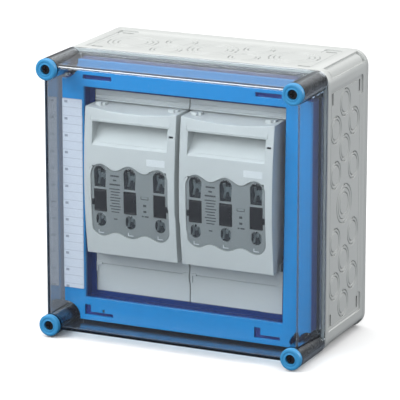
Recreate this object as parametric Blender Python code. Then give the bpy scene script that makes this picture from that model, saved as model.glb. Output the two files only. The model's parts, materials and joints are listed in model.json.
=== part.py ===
"""Wall-mounted DC combiner box: an insulated enclosure with a clear lift-off lid, a cover frame
and two three-pole fuse switch-disconnectors on a mounting plate.

Origin: centre of the back face, on the wall. +X is to the right seen from the front, the front
faces -Y and +Z is up. Depths are distances from the wall, so a depth of 0.110 lies at y = -0.110.
"""

import math

import bmesh
import bpy
from mathutils import Matrix, Vector

MM = 0.001

# Enclosure base
BOX_HALF = 150 * MM
BASE_DEPTH = 110 * MM
WALL = 3 * MM
BOX_CORNER = 16 * MM
BACK_CHAMFER = 1.5 * MM
RIM_THICKNESS = 9 * MM
RIM_INNER = 136 * MM
FIXING_HOLE = (70 * MM, 131.5 * MM, 3.5 * MM)  # x, z and radius
PILLAR_ROOT = 1.5 * MM  # pillars and bosses start inside the back wall

# Lid fasteners, one in each corner
FASTENER_AXIS = 137.5 * MM
TUBE_RADIUS = 11.5 * MM
TUBE_BORE = 8.2 * MM
TUBE_FRONT = 170.3 * MM
PILLAR_RADIUS = 11 * MM
POST_RADIUS = 7.6 * MM
POST_BORE = 6 * MM
POST_BACK = 60 * MM
SHAFT_RADIUS = 7.8 * MM
TIP_RADIUS = 5.6 * MM
TIP_BACK = 86 * MM
HEAD_RADIUS = 4.7 * MM
RING_BORE = 5.2 * MM
RING_FRONT = 176 * MM

# Gasket between the base and the lid
GASKET_OUTER = 143.2 * MM
GASKET_INNER = 139.7 * MM
GASKET_BACK = 107.3 * MM
GASKET_FRONT = 112.6 * MM

# Lid
LID_FRONT = 170 * MM
LID_WALL = 3 * MM
LID_FLANGE_HALF = 149 * MM
LID_FLANGE_FRONT = 113.5 * MM
LID_REAR_HALF = 145.8 * MM
LID_FRONT_HALF = 142.8 * MM
LIP_FRONT = 117 * MM

# Knockouts: radius and the depth of the thinned disc
KNOCKOUT_RECESS = 0.6 * MM
KNOCKOUT_MIDDLE = 62 * MM
SIDE_SMALL_KNOCKOUT = 14.5 * MM
SIDE_LARGE_KNOCKOUT = 21 * MM
SIDE_STEP = 24.5 * MM
SIDE_PAIR_HEIGHTS = (35.5 * MM, 83 * MM)
SIDE_SINGLE_HEIGHTS = (59.5 * MM, 107.5 * MM)
TOP_SMALL_KNOCKOUT = 17 * MM
TOP_LARGE_KNOCKOUT = 27 * MM
TOP_SMALL_PLACE = 44.5 * MM
TOP_SMALL_STEP = 20 * MM
TOP_LARGE_PLACE = 92 * MM

# Mounting plate on four bosses
BOSS_PLACE = 118 * MM
BOSS_RADIUS = 6 * MM
BOSS_FRONT = 42 * MM
PLATE_HALF = 127 * MM
PLATE_THICKNESS = 2 * MM
PLATE_ROUND = 5 * MM
SCREW_RADIUS = 2.2 * MM
SCREW_HOLE = 2.6 * MM
SCREW_REACH = 11 * MM
SCREW_HEAD_RADIUS = 4.5 * MM
SCREW_HEAD_HEIGHT = 3 * MM

# Cover frame
FRAME_HALF = 139.2 * MM
FRAME_NOTCH = 16.5 * MM
FRAME_FRONT = 134 * MM
FRAME_WALL = 2.5 * MM
FRAME_OPENING = 114 * MM
FLANGE_BACK = 118 * MM
FLANGE_FRONT = 120 * MM
WINDOW_HALF_X = 108 * MM
WINDOW_HALF_Z = 109 * MM
SLOT_ENDS = ((-115 * MM, -82 * MM), (80 * MM, 109 * MM))
TOP_SLOT = (122 * MM, 126.5 * MM)
BOTTOM_SLOT = (-133 * MM, -129.5 * MM)
BOTTOM_SLOT_LEG = (7 * MM, -122 * MM)  # its width, and the height it reaches up to

# Label strip
LABEL_ENDS = (-138.5 * MM, -115.5 * MM)
LABEL_HEIGHTS = (-105 * MM, 100 * MM)
LABEL_THICKNESS = 0.8 * MM

# Fuse switch-disconnectors
SWITCH_PITCH = 109 * MM
BODY_HALF = 53.2 * MM
BODY_HALF_HEIGHT = 112 * MM
BODY_DECK = 83.7 * MM
BODY_FRONT = 112 * MM
BODY_WALL = 2.5 * MM
TERMINAL_WALL_FRONT = 99.5 * MM
POLE_PITCH = 34 * MM
BARRIER = 2.4 * MM
CHAMBER_HALF_HEIGHT = 46.5 * MM
COVER_HALF = 53.9 * MM
COVER_FRONT = 117.5 * MM
COVER_WALL = 2 * MM
TOP_COVER_BOTTOM = 97.3 * MM
BOTTOM_COVER_TOP = -63.2 * MM
COVER_END = 113.5 * MM

# Handle and its hinge
PIVOT_DEPTH = 121 * MM
PIVOT_HEIGHT = -58 * MM
PEG_RADIUS = 2.5 * MM
PEG_HOLE = 2.9 * MM
EAR_RADIUS = 4.5 * MM
EAR_THICKNESS = 2.2 * MM
EAR_ROOT = 8 * MM
HANDLE_HALF = 52 * MM
HANDLE_BOTTOM = -61 * MM
HANDLE_TOP = 96.5 * MM
HANDLE_BACK = 118 * MM
HANDLE_WALL = 2.5 * MM
BULGE_FRONT = 150 * MM
BULGE_HEIGHT = 25 * MM
TOP_EDGE_FRONT = 145 * MM
GRIP_HALF = 43 * MM
GRIP_BOTTOM = 57 * MM
GRIP_TOP = 81.5 * MM
GRIP_FLOOR = 125 * MM
RELIEF_DEPTH = 2 * MM
RELIEF_SIZE = 11 * MM
POLE_SLOT = (8 * MM, -31 * MM, 35 * MM)  # half its width, and its ends in height
FUSE_POST = (9 * MM, 11.5 * MM, -14 * MM, 10 * MM)  # ends across, and ends in height

# Window plate inset in the handle, and the clear pane behind it
PLATE_HALF_WIDTH = 44 * MM
PLATE_CORNER = 12 * MM
PLATE_TOP = 37.5 * MM
PLATE_TOP_DIP = 31.1 * MM
PLATE_BOTTOM = -40.5 * MM
PLATE_BOTTOM_DIP = -35.5 * MM
PLATE_INSET = 1.0 * MM
PLATE_SHEET = 1.6 * MM
PANE_SHEET = 1.2 * MM
PANE_HALF_WIDTH = 42 * MM
PANE_HEIGHTS = (-34 * MM, 30 * MM)
POCKET_GAP = 0.4 * MM
CUTTER_DEPTHS = (130 * MM, 160 * MM)
UPPER_WINDOW = (6.8 * MM, 6.1 * MM, 13 * MM, 35.5 * MM)  # half widths at top and foot, then heights
MIDDLE_WINDOW = (7.2 * MM, -13.5 * MM, 10.5 * MM)  # half width, then heights
LOWER_WINDOW = (5.6 * MM, -30 * MM, -15.5 * MM)

# Fuse-links and contacts
CERAMIC_HALF_WIDTH = 12 * MM
CERAMIC_HALF_LENGTH = 23.5 * MM
CERAMIC_BACK = 86.5 * MM
CERAMIC_FRONT = 113.5 * MM
CERAMIC_BORE = (8 * MM, 92 * MM, 108 * MM)  # half its width, and its depths
BLADE_TIP = 39.25 * MM
BLADE_BACK = 88 * MM
BLADE_FRONT = 103 * MM
BLADE_HALF_THICKNESS = 3 * MM
END_PLATE_HALF = 11 * MM
END_PLATE_FRONT = 112 * MM
ELEMENT = (0.6 * MM, 96 * MM, 104 * MM)  # half its thickness, and its depths
JAW_BOTTOM = 31.5 * MM
JAW_TOP = 43 * MM
JAW_FRONT = 104 * MM
JAW_GAP = 0.15 * MM
CONTACT_BACK = 84.3 * MM
CONTACT_SHEET = 2 * MM
CONTACT_HALF = 10 * MM
CONTACT_END = 106 * MM
CLAMP_HEIGHT = 88 * MM
CLAMP_FRONT = 98 * MM
CLAMP_HALF = (8 * MM, 9 * MM)  # across and in height
CLAMP_SCREW = (4 * MM, 3 * MM)  # radius, and how far it stands out

GAP = 0.3 * MM
PAST = 1 * MM  # how far a cutter runs past a wall
CORNER_STEPS = 4
ROUND_STEPS = 16
SMALL_STEPS = 12
BULGE_STEPS = 8
EAR_STEPS = 8
WAVE_STEPS = 16
ARC_STEPS = 6

MATERIALS = {
    "enclosure_grey": ((0.72, 0.74, 0.74, 1), 0.45, 0.0),
    "lid_clear": ((0.90, 0.94, 0.95, 0.3), 0.08, 0.0),
    "gasket_black": ((0.02, 0.02, 0.02, 1), 0.8, 0.0),
    "fastener_black": ((0.02, 0.02, 0.025, 1), 0.35, 0.0),
    "ring_blue": ((0.05, 0.32, 0.60, 1), 0.35, 0.0),
    "frame_blue": ((0.05, 0.30, 0.72, 1), 0.35, 0.0),
    "label_white": ((0.80, 0.82, 0.86, 1), 0.5, 0.0),
    "plate_steel": ((0.60, 0.62, 0.62, 1), 0.4, 1.0),
    "switch_grey": ((0.55, 0.58, 0.58, 1), 0.5, 0.0),
    "cover_grey": ((0.70, 0.73, 0.72, 1), 0.45, 0.0),
    "handle_grey": ((0.72, 0.74, 0.74, 1), 0.4, 0.0),
    "window_grey": ((0.38, 0.41, 0.41, 1), 0.4, 0.0),
    "pane_clear": ((0.85, 0.88, 0.88, 0.3), 0.08, 0.0),
    "contact_silver": ((0.80, 0.79, 0.75, 1), 0.3, 1.0),
    "fuse_ceramic": ((0.78, 0.75, 0.68, 1), 0.55, 0.0),
    "screw_steel": ((0.55, 0.55, 0.55, 1), 0.3, 1.0),
}


def make_material(name):
    """A Principled material for one of the finishes above."""
    colour, roughness, metallic = MATERIALS[name]
    material = bpy.data.materials.new(name)
    material.use_nodes = True
    shader = material.node_tree.nodes["Principled BSDF"]
    shader.inputs["Base Color"].default_value = (*colour[:3], 1)
    shader.inputs["Alpha"].default_value = colour[3]
    shader.inputs["Roughness"].default_value = roughness
    shader.inputs["Metallic"].default_value = metallic
    return material


def at(x, depth, z):
    """The point x across, depth from the wall and z up."""
    return Vector((x, -depth, z))


# Outlines: lists of (x, z) points, counter-clockwise seen from the front


def rounded_square(half, radius):
    """A square with round corners."""
    points = []
    for corner in range(4):
        middle = math.pi / 4 + corner * math.pi / 2
        centre_x = math.copysign(half - radius, math.cos(middle))
        centre_z = math.copysign(half - radius, math.sin(middle))
        for step in range(CORNER_STEPS + 1):
            angle = corner * math.pi / 2 + step / CORNER_STEPS * math.pi / 2
            points.append((centre_x + radius * math.cos(angle), centre_z + radius * math.sin(angle)))
    return points


def notched_square(half, radius):
    """A square whose corners are hollow arcs around the four fastener axes."""
    lean = math.asin((half - FASTENER_AXIS) / radius)
    start = -math.pi / 2 + lean
    end = -math.pi - lean
    steps = 2 * CORNER_STEPS
    points = []
    for corner in range(4):
        turn = Matrix.Rotation(corner * math.pi / 2, 2)
        for step in range(steps + 1):
            angle = start + (end - start) * step / steps
            point = Vector((
                FASTENER_AXIS + radius * math.cos(angle),
                FASTENER_AXIS + radius * math.sin(angle),
            ))
            points.append(tuple(turn @ point))
    return points


def rectangle(x_low, x_high, z_low, z_high):
    return [(x_low, z_low), (x_high, z_low), (x_high, z_high), (x_low, z_high)]


def wavy_plate_outline(margin=0.0):
    """The window plate's outline: a lobe at each pole above and below, and round corners."""
    half = PLATE_HALF_WIDTH + margin
    radius = PLATE_CORNER + margin
    wave_end = PLATE_HALF_WIDTH - PLATE_CORNER

    def edge(x, lobe, dip):
        middle = (lobe + dip) / 2
        return middle + (lobe - dip) / 2 * math.cos(2 * math.pi * x / POLE_PITCH)

    def arc(sign_x, centre_z, first):
        count = 5
        return [
            (
                sign_x * (half - radius) + radius * math.cos(first + i / count * math.pi / 2),
                centre_z + radius * math.sin(first + i / count * math.pi / 2),
            )
            for i in range(1, count)
        ]

    xs = [-wave_end + 2 * wave_end * i / WAVE_STEPS for i in range(WAVE_STEPS + 1)]
    bottom = [(x, edge(x, PLATE_BOTTOM, PLATE_BOTTOM_DIP) - margin) for x in xs]
    top = [(x, edge(x, PLATE_TOP, PLATE_TOP_DIP) + margin) for x in reversed(xs)]
    low_centre = PLATE_BOTTOM + PLATE_CORNER
    high_centre = PLATE_TOP - PLATE_CORNER
    sides = (half, low_centre), (half, high_centre), (-half, high_centre), (-half, low_centre)
    return (
        bottom + arc(1, low_centre, -math.pi / 2) + [sides[0], sides[1]]
        + arc(1, high_centre, 0) + top
        + arc(-1, high_centre, math.pi / 2) + [sides[2], sides[3]]
        + arc(-1, low_centre, math.pi)
    )


def arch(x, half_top, half_bottom, z_low, z_high):
    """An opening with a round top that narrows towards its foot."""
    centre = z_high - half_top
    curve = []
    for i in range(ARC_STEPS + 1):
        angle = math.pi * i / ARC_STEPS
        curve.append((x + half_top * math.cos(angle), centre + half_top * math.sin(angle)))
    return curve + [(x - half_bottom, z_low), (x + half_bottom, z_low)]


def oval(x, half, z_low, z_high):
    """An upright opening with two round ends."""
    points = []
    for centre, first in ((z_high - half, 0.0), (z_low + half, math.pi)):
        for i in range(ARC_STEPS + 1):
            angle = first + math.pi * i / ARC_STEPS
            points.append((x + half * math.cos(angle), centre + half * math.sin(angle)))
    return points


# Solids: each function adds one closed body to a bmesh


def add_loft(bm, loops):
    """Skin through loops of equally many points, with a flat cap on the first and the last."""
    rings = [[bm.verts.new(point) for point in loop] for loop in loops]
    for near, far in zip(rings, rings[1:]):
        for i, vert in enumerate(near):
            following = (i + 1) % len(near)
            bm.faces.new((vert, near[following], far[following], far[i]))
    bm.faces.new(reversed(rings[0]))
    bm.faces.new(rings[-1])


def add_prism(bm, outline, back, front):
    """An outline of (x, z) points carried from one depth to another."""
    add_loft(bm, [[at(x, depth, z) for x, z in outline] for depth in (back, front)])


def add_ring_prism(bm, outer, inner, back, front):
    """The band between two outlines of equally many points."""
    loops = [
        [at(x, depth, z) for x, z in outline]
        for outline, depth in ((inner, back), (outer, back), (outer, front), (inner, front))
    ]
    rings = [[bm.verts.new(point) for point in loop] for loop in loops]
    for near, far in zip(rings, rings[1:] + rings[:1]):
        for i, vert in enumerate(near):
            following = (i + 1) % len(near)
            bm.faces.new((vert, near[following], far[following], far[i]))


def add_side_prism(bm, profile, left, right):
    """A profile of (depth, z) points carried across from x = left to x = right."""
    add_loft(bm, [[at(x, depth, z) for depth, z in profile] for x in (left, right)])


def add_box(bm, x_low, x_high, back, front, z_low, z_high):
    add_prism(bm, rectangle(x_low, x_high, z_low, z_high), back, front)


def circle(radius, steps=ROUND_STEPS):
    """Points round a circle, with a flat side at each end of both axes."""
    angles = [2 * math.pi * (i + 0.5) / steps for i in range(steps)]
    return [(radius * math.cos(a), radius * math.sin(a)) for a in angles]


def add_cylinder(bm, x, z, radius, back, front, steps=ROUND_STEPS):
    """A cylinder along the depth."""
    add_prism(bm, [(x + a, z + b) for a, b in circle(radius, steps)], back, front)


def add_cross_cylinder(bm, depth, z, radius, left, right, steps=ROUND_STEPS):
    """A cylinder along X."""
    add_side_prism(bm, [(depth + a, z + b) for a, b in circle(radius, steps)], left, right)


def add_turned(bm, x, z, profile, steps=ROUND_STEPS):
    """A turned piece along the depth, from (radius, depth) points, with a cap on each end."""
    loops = [[at(x + a, depth, z + b) for a, b in circle(radius, steps)] for radius, depth in profile]
    add_loft(bm, loops)


def make_object(name, add_shapes):
    """An object from the closed bodies that add_shapes puts in a bmesh, with faces pointing out."""
    bm = bmesh.new()
    add_shapes(bm)
    bmesh.ops.recalc_face_normals(bm, faces=bm.faces)
    mesh = bpy.data.meshes.new(name)
    bm.to_mesh(mesh)
    bm.free()
    item = bpy.data.objects.new(name, mesh)
    bpy.context.scene.collection.objects.link(item)
    return item


def shape_with(body, operation, add_shapes):
    """Cut, join or intersect the body with the shapes, and keep the result as its mesh."""
    tool = make_object(body.name + "_tool", add_shapes)
    modifier = body.modifiers.new(operation, "BOOLEAN")
    modifier.operation = operation
    modifier.solver = "EXACT"
    modifier.object = tool
    evaluated = body.evaluated_get(bpy.context.evaluated_depsgraph_get())
    result = bpy.data.meshes.new_from_object(evaluated)
    body.modifiers.clear()
    body.data = result
    bpy.data.objects.remove(tool)


def cut(body, add_shapes):
    shape_with(body, "DIFFERENCE", add_shapes)


def join(body, add_shapes):
    shape_with(body, "UNION", add_shapes)


def keep_inside(body, add_shapes):
    shape_with(body, "INTERSECT", add_shapes)


def finish(item, material, smooth=False):
    """Give a piece its finish and its shading."""
    item.data.materials.clear()
    item.data.materials.append(bpy.data.materials[material])
    if smooth:
        item.data.shade_smooth()
        item.data.set_sharp_from_angle(angle=math.radians(35))
    return item


def copy_to(item, name, parent, location, turned=False):
    """A copy that shares its mesh, under a parent, upside down when turned."""
    twin = bpy.data.objects.new(name, item.data)
    bpy.context.scene.collection.objects.link(twin)
    twin.parent = parent
    twin.location = location
    if turned:
        twin.rotation_euler = (0, math.pi, 0)
    return twin


def make_empty(name, location, parent=None):
    empty = bpy.data.objects.new(name, None)
    bpy.context.scene.collection.objects.link(empty)
    empty.location = location
    empty.parent = parent
    return empty


CORNERS = {
    "top_left": (-1, 1),
    "top_right": (1, 1),
    "bottom_left": (-1, -1),
    "bottom_right": (1, -1),
}
SIDES = {"left": -1, "right": 1}
POLES = {"1": -POLE_PITCH, "2": 0.0, "3": POLE_PITCH}


# Enclosure base and what is fixed in it


def base_outer(bm):
    stations = (
        (BOX_HALF - BACK_CHAMFER, BOX_CORNER - BACK_CHAMFER, 0.0),
        (BOX_HALF, BOX_CORNER, BACK_CHAMFER),
        (BOX_HALF, BOX_CORNER, BASE_DEPTH),
    )
    add_loft(bm, [[at(x, d, z) for x, z in rounded_square(h, r)] for h, r, d in stations])


def side_knockouts():
    """Depth, height and radius of each knockout in a side wall."""
    places = [(KNOCKOUT_MIDDLE, 0.0, SIDE_LARGE_KNOCKOUT)]
    for sign in (-1, 1):
        for z in SIDE_PAIR_HEIGHTS:
            places.append((KNOCKOUT_MIDDLE - SIDE_STEP, sign * z, SIDE_SMALL_KNOCKOUT))
            places.append((KNOCKOUT_MIDDLE + SIDE_STEP, sign * z, SIDE_SMALL_KNOCKOUT))
        places += [(KNOCKOUT_MIDDLE, sign * z, SIDE_SMALL_KNOCKOUT) for z in SIDE_SINGLE_HEIGHTS]
    return places


def top_knockouts():
    """Depth, x and radius of each knockout in the top and bottom walls."""
    places = [(KNOCKOUT_MIDDLE, x, TOP_LARGE_KNOCKOUT) for x in (-TOP_LARGE_PLACE, 0.0, TOP_LARGE_PLACE)]
    for x in (-TOP_SMALL_PLACE, TOP_SMALL_PLACE):
        places.append((KNOCKOUT_MIDDLE - TOP_SMALL_STEP, x, TOP_SMALL_KNOCKOUT))
        places.append((KNOCKOUT_MIDDLE + TOP_SMALL_STEP, x, TOP_SMALL_KNOCKOUT))
    return places


def add_knockouts(bm):
    reach = BOX_HALF - KNOCKOUT_RECESS
    for sign in (-1, 1):
        ends = sorted((sign * reach, sign * (BOX_HALF + PAST)))
        for depth, z, radius in side_knockouts():
            add_cross_cylinder(bm, depth, z, radius, *ends, steps=SMALL_STEPS)
        for depth, x, radius in top_knockouts():
            disc = [(x + a, depth + b) for a, b in circle(radius, SMALL_STEPS)]
            add_loft(bm, [[at(px, pd, z) for px, pd in disc] for z in ends])


def make_base():
    """The moulded lower part: walls, rim, corner pillars, plate bosses and knockouts."""
    base = make_object("enclosure_base", base_outer)
    rim_back = BASE_DEPTH - RIM_THICKNESS
    inner_notch = TUBE_RADIUS + GASKET_OUTER - GASKET_INNER
    cavity = rounded_square(BOX_HALF - WALL, BOX_CORNER - WALL)
    rim_opening = notched_square(RIM_INNER, FRAME_NOTCH + 0.5 * MM)
    groove_outer = notched_square(GASKET_OUTER + GAP, TUBE_RADIUS - GAP)
    groove_inner = notched_square(GASKET_INNER - GAP, inner_notch + GAP)

    def pillars_and_bosses(bm):
        for sx, sz in CORNERS.values():
            axis = sx * FASTENER_AXIS, sz * FASTENER_AXIS
            add_cylinder(bm, *axis, PILLAR_RADIUS, PILLAR_ROOT, rim_back + PAST)
            add_cylinder(bm, sx * BOSS_PLACE, sz * BOSS_PLACE, BOSS_RADIUS, PILLAR_ROOT, BOSS_FRONT)

    def bores(bm):
        hole_x, hole_z, hole_radius = FIXING_HOLE
        for sx, sz in CORNERS.values():
            axis = sx * FASTENER_AXIS, sz * FASTENER_AXIS
            add_cylinder(bm, *axis, POST_RADIUS + GAP, POST_BACK - GAP, BASE_DEPTH + PAST)
            boss = sx * BOSS_PLACE, sz * BOSS_PLACE
            screw_tip = BOSS_FRONT - SCREW_REACH - PAST
            add_cylinder(bm, *boss, SCREW_HOLE, screw_tip, BOSS_FRONT + PAST, SMALL_STEPS)
            add_cylinder(bm, sx * hole_x, sz * hole_z, hole_radius, -PAST, WALL + PAST, SMALL_STEPS)

    cut(base, lambda bm: add_prism(bm, cavity, WALL, rim_back))
    cut(base, lambda bm: add_prism(bm, rim_opening, rim_back - PAST, BASE_DEPTH + PAST))
    join(base, pillars_and_bosses)
    cut(base, bores)
    groove_ends = GASKET_BACK - GAP, BASE_DEPTH + PAST
    cut(base, lambda bm: add_ring_prism(bm, groove_outer, groove_inner, *groove_ends))
    cut(base, add_knockouts)
    finish(base, "enclosure_grey")


def make_corner_posts():
    """The sockets in the corner pillars that the lid fasteners reach into."""
    front = BASE_DEPTH - GAP

    def shape(bm):
        add_turned(bm, 0, 0, ((POST_RADIUS, POST_BACK), (POST_RADIUS, front)))

    def bore(bm):
        add_cylinder(bm, 0, 0, POST_BORE, POST_BACK + WALL, front + PAST)

    for corner, (sx, sz) in CORNERS.items():
        post = make_object("corner_post_" + corner, shape)
        cut(post, bore)
        post.location = (sx * FASTENER_AXIS, 0, sz * FASTENER_AXIS)
        finish(post, "fastener_black", smooth=True)


def make_gasket():
    outer = notched_square(GASKET_OUTER, TUBE_RADIUS)
    inner = notched_square(GASKET_INNER, TUBE_RADIUS + GASKET_OUTER - GASKET_INNER)
    ends = GASKET_BACK, GASKET_FRONT
    gasket = make_object("lid_gasket", lambda bm: add_ring_prism(bm, outer, inner, *ends))
    finish(gasket, "gasket_black")


def make_mounting_plate():
    """The steel plate on the bosses, and its four screws."""
    back = BOSS_FRONT + GAP
    front = back + PLATE_THICKNESS
    outline = rounded_square(PLATE_HALF, PLATE_ROUND)
    head_back = front + GAP

    def holes(bm):
        for sx, sz in CORNERS.values():
            boss = sx * BOSS_PLACE, sz * BOSS_PLACE
            add_cylinder(bm, *boss, SCREW_HOLE, back - PAST, front + PAST, SMALL_STEPS)

    def screw(bm):
        profile = (
            (SCREW_RADIUS, BOSS_FRONT - SCREW_REACH),
            (SCREW_RADIUS, head_back),
            (SCREW_HEAD_RADIUS, head_back),
            (SCREW_HEAD_RADIUS, head_back + SCREW_HEAD_HEIGHT),
        )
        add_turned(bm, 0, 0, profile, SMALL_STEPS)

    plate = make_object("mounting_plate", lambda bm: add_prism(bm, outline, back, front))
    cut(plate, holes)
    finish(plate, "plate_steel")
    for corner, (sx, sz) in CORNERS.items():
        item = make_object("plate_screw_" + corner, screw)
        item.location = (sx * BOSS_PLACE, 0, sz * BOSS_PLACE)
        finish(item, "screw_steel", smooth=True)


def make_cover_frame():
    """The frame round the switches, hollow from behind, with a well down to the window flange."""
    outer = notched_square(FRAME_HALF, FRAME_NOTCH)
    hollow = notched_square(FRAME_HALF - FRAME_WALL, FRAME_NOTCH + FRAME_WALL)
    back = BASE_DEPTH + GAP
    plate_back = FRAME_FRONT - FRAME_WALL
    well_outer = FRAME_OPENING + FRAME_WALL

    def slots(bm):
        ends = plate_back - PAST, FRAME_FRONT + PAST
        low, high = BOTTOM_SLOT
        leg, leg_top = BOTTOM_SLOT_LEG
        for left, right in SLOT_ENDS:
            add_box(bm, left, right, *ends, *TOP_SLOT)
            foot = [(left, leg_top), (left, low), (right, low), (right, high)]
            add_prism(bm, foot + [(left + leg, high), (left + leg, leg_top)], *ends)

    def well(bm):
        box = rectangle(-well_outer, well_outer, -well_outer, well_outer)
        add_ring_prism(bm, box, opening, FLANGE_BACK, plate_back + PAST)

    def flange(bm):
        reach = FRAME_OPENING + FRAME_WALL / 2
        box = rectangle(-reach, reach, -reach, reach)
        window = rectangle(-WINDOW_HALF_X, WINDOW_HALF_X, -WINDOW_HALF_Z, WINDOW_HALF_Z)
        add_ring_prism(bm, box, window, FLANGE_BACK + 0.1 * MM, FLANGE_FRONT)

    frame = make_object("cover_frame", lambda bm: add_prism(bm, outer, back, FRAME_FRONT))
    cut(frame, lambda bm: add_prism(bm, hollow, back - PAST, plate_back))
    opening = rectangle(-FRAME_OPENING, FRAME_OPENING, -FRAME_OPENING, FRAME_OPENING)
    cut(frame, lambda bm: add_prism(bm, opening, back, FRAME_FRONT + PAST))
    join(frame, well)
    join(frame, flange)
    cut(frame, slots)
    finish(frame, "frame_blue")


def make_label_strip():
    """The blank circuit label down the left side of the frame."""
    back = FRAME_FRONT + GAP
    ends = back, back + LABEL_THICKNESS
    strip = make_object("label_strip", lambda bm: add_box(bm, *LABEL_ENDS, *ends, *LABEL_HEIGHTS))
    finish(strip, "label_white")


# Lid and its fasteners


def make_lid():
    """The clear lid: a deep shell with a flange over the rim, a lip on the gasket and corner tubes."""
    stations = (
        (LID_FLANGE_HALF, 15 * MM, BASE_DEPTH + GAP),
        (LID_FLANGE_HALF, 15 * MM, LID_FLANGE_FRONT),
        (LID_REAR_HALF, 12 * MM, LID_FLANGE_FRONT + 1 * MM),
        (LID_FRONT_HALF, 9 * MM, LID_FRONT - 4 * MM),
        (LID_FRONT_HALF - 1.2 * MM, 8 * MM, LID_FRONT - 1.2 * MM),
        (LID_FRONT_HALF - 4 * MM, 6 * MM, LID_FRONT),
    )
    inner_front = LID_FRONT - LID_WALL
    lip_notch = TUBE_RADIUS + GASKET_OUTER - GASKET_INNER - 0.2 * MM
    lip = notched_square(GASKET_INNER + 0.2 * MM, lip_notch)
    seat = notched_square(GASKET_OUTER + GAP, TUBE_RADIUS - GAP)
    inner_stations = (
        (LID_REAR_HALF - LID_WALL - 0.5 * MM, LIP_FRONT),
        (LID_FRONT_HALF - LID_WALL, inner_front - 3 * MM),
        (LID_FRONT_HALF - LID_WALL - 3 * MM, inner_front),
    )

    def outer(bm):
        add_loft(bm, [[at(x, d, z) for x, z in rounded_square(h, r)] for h, r, d in stations])

    def tubes(bm):
        for sx, sz in CORNERS.values():
            axis = sx * FASTENER_AXIS, sz * FASTENER_AXIS
            add_cylinder(bm, *axis, TUBE_RADIUS, BASE_DEPTH + GAP, TUBE_FRONT)

    def hollow(bm):
        loops = [notched_square(half, TUBE_RADIUS) for half, depth in inner_stations]
        depths = [depth for half, depth in inner_stations]
        add_loft(bm, [[at(x, d, z) for x, z in loop] for loop, d in zip(loops, depths)])

    def bores(bm):
        for sx, sz in CORNERS.values():
            axis = sx * FASTENER_AXIS, sz * FASTENER_AXIS
            add_cylinder(bm, *axis, TUBE_BORE, BASE_DEPTH - PAST, TUBE_FRONT + PAST)

    lid = make_object("lid_shell", outer)
    join(lid, tubes)
    cut(lid, hollow)
    cut(lid, lambda bm: add_prism(bm, lip, GASKET_FRONT, LIP_FRONT + PAST))
    cut(lid, lambda bm: add_prism(bm, seat, BASE_DEPTH - PAST, GASKET_FRONT + GAP))
    cut(lid, bores)
    finish(lid, "lid_clear")


def make_fasteners():
    """In each corner a long screw that turns in the lid's tube, and the ring that keeps it there."""
    shoulder_back = BASE_DEPTH + 0.6 * MM
    shoulder_front = TUBE_FRONT - 0.4 * MM
    head_front = RING_FRONT - 2.2 * MM
    ring_back = TUBE_FRONT + GAP
    slot_ends = head_front - 2 * MM, head_front + PAST
    slot_reach = 3.2 * MM
    slot_half = 0.7 * MM
    chamfer = 1.2 * MM

    def screw(bm):
        profile = (
            (TIP_RADIUS - chamfer, TIP_BACK),
            (TIP_RADIUS, TIP_BACK + chamfer),
            (TIP_RADIUS, shoulder_back),
            (SHAFT_RADIUS, shoulder_back),
            (SHAFT_RADIUS, shoulder_front),
            (HEAD_RADIUS, shoulder_front),
            (HEAD_RADIUS, head_front),
        )
        add_turned(bm, 0, 0, profile)

    def slot_along_x(bm):
        add_box(bm, -slot_reach, slot_reach, *slot_ends, -slot_half, slot_half)

    def slot_along_z(bm):
        add_box(bm, -slot_half, slot_half, *slot_ends, -slot_reach, slot_reach)

    def ring(bm):
        profile = (
            (TUBE_RADIUS, ring_back),
            (TUBE_RADIUS, RING_FRONT - chamfer),
            (TUBE_RADIUS - chamfer, RING_FRONT),
        )
        add_turned(bm, 0, 0, profile)

    def ring_hole(bm):
        add_cylinder(bm, 0, 0, RING_BORE, ring_back - PAST, RING_FRONT + PAST)

    first = make_object("lid_screw_top_left", screw)
    cut(first, slot_along_x)
    cut(first, slot_along_z)
    collar = make_object("lid_ring_top_left", ring)
    cut(collar, ring_hole)
    finish(first, "fastener_black", smooth=True)
    finish(collar, "ring_blue", smooth=True)
    for corner, (sx, sz) in CORNERS.items():
        place = (sx * FASTENER_AXIS, 0, sz * FASTENER_AXIS)
        if corner == "top_left":
            first.location = place
            collar.location = place
        else:
            copy_to(first, "lid_screw_" + corner, None, place)
            copy_to(collar, "lid_ring_" + corner, None, place)


# Fuse switch-disconnectors, modelled round x = 0 and then placed left and right


def handle_front(z):
    """Depth of the handle's bulging front at height z."""
    fall = (z - BULGE_HEIGHT) / (HANDLE_TOP - BULGE_HEIGHT)
    return BULGE_FRONT - (BULGE_FRONT - TOP_EDGE_FRONT) * fall * fall


def bulged_profile(z_low, z_high, inset, back):
    """Side profile from a flat back, or a back parallel to the front when back is a function."""
    heights = [z_low + (z_high - z_low) * i / BULGE_STEPS for i in range(BULGE_STEPS + 1)]
    front = [(handle_front(z) - inset, z) for z in reversed(heights)]
    if callable(back):
        return [(back(z), z) for z in heights] + front
    return [(back, z_low), (back, z_high)] + front


def sheet_profile(z_low, z_high, inset, thickness):
    """Side profile of a sheet that follows the handle's front."""
    return bulged_profile(z_low, z_high, inset, lambda z: handle_front(z) - inset - thickness)


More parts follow.
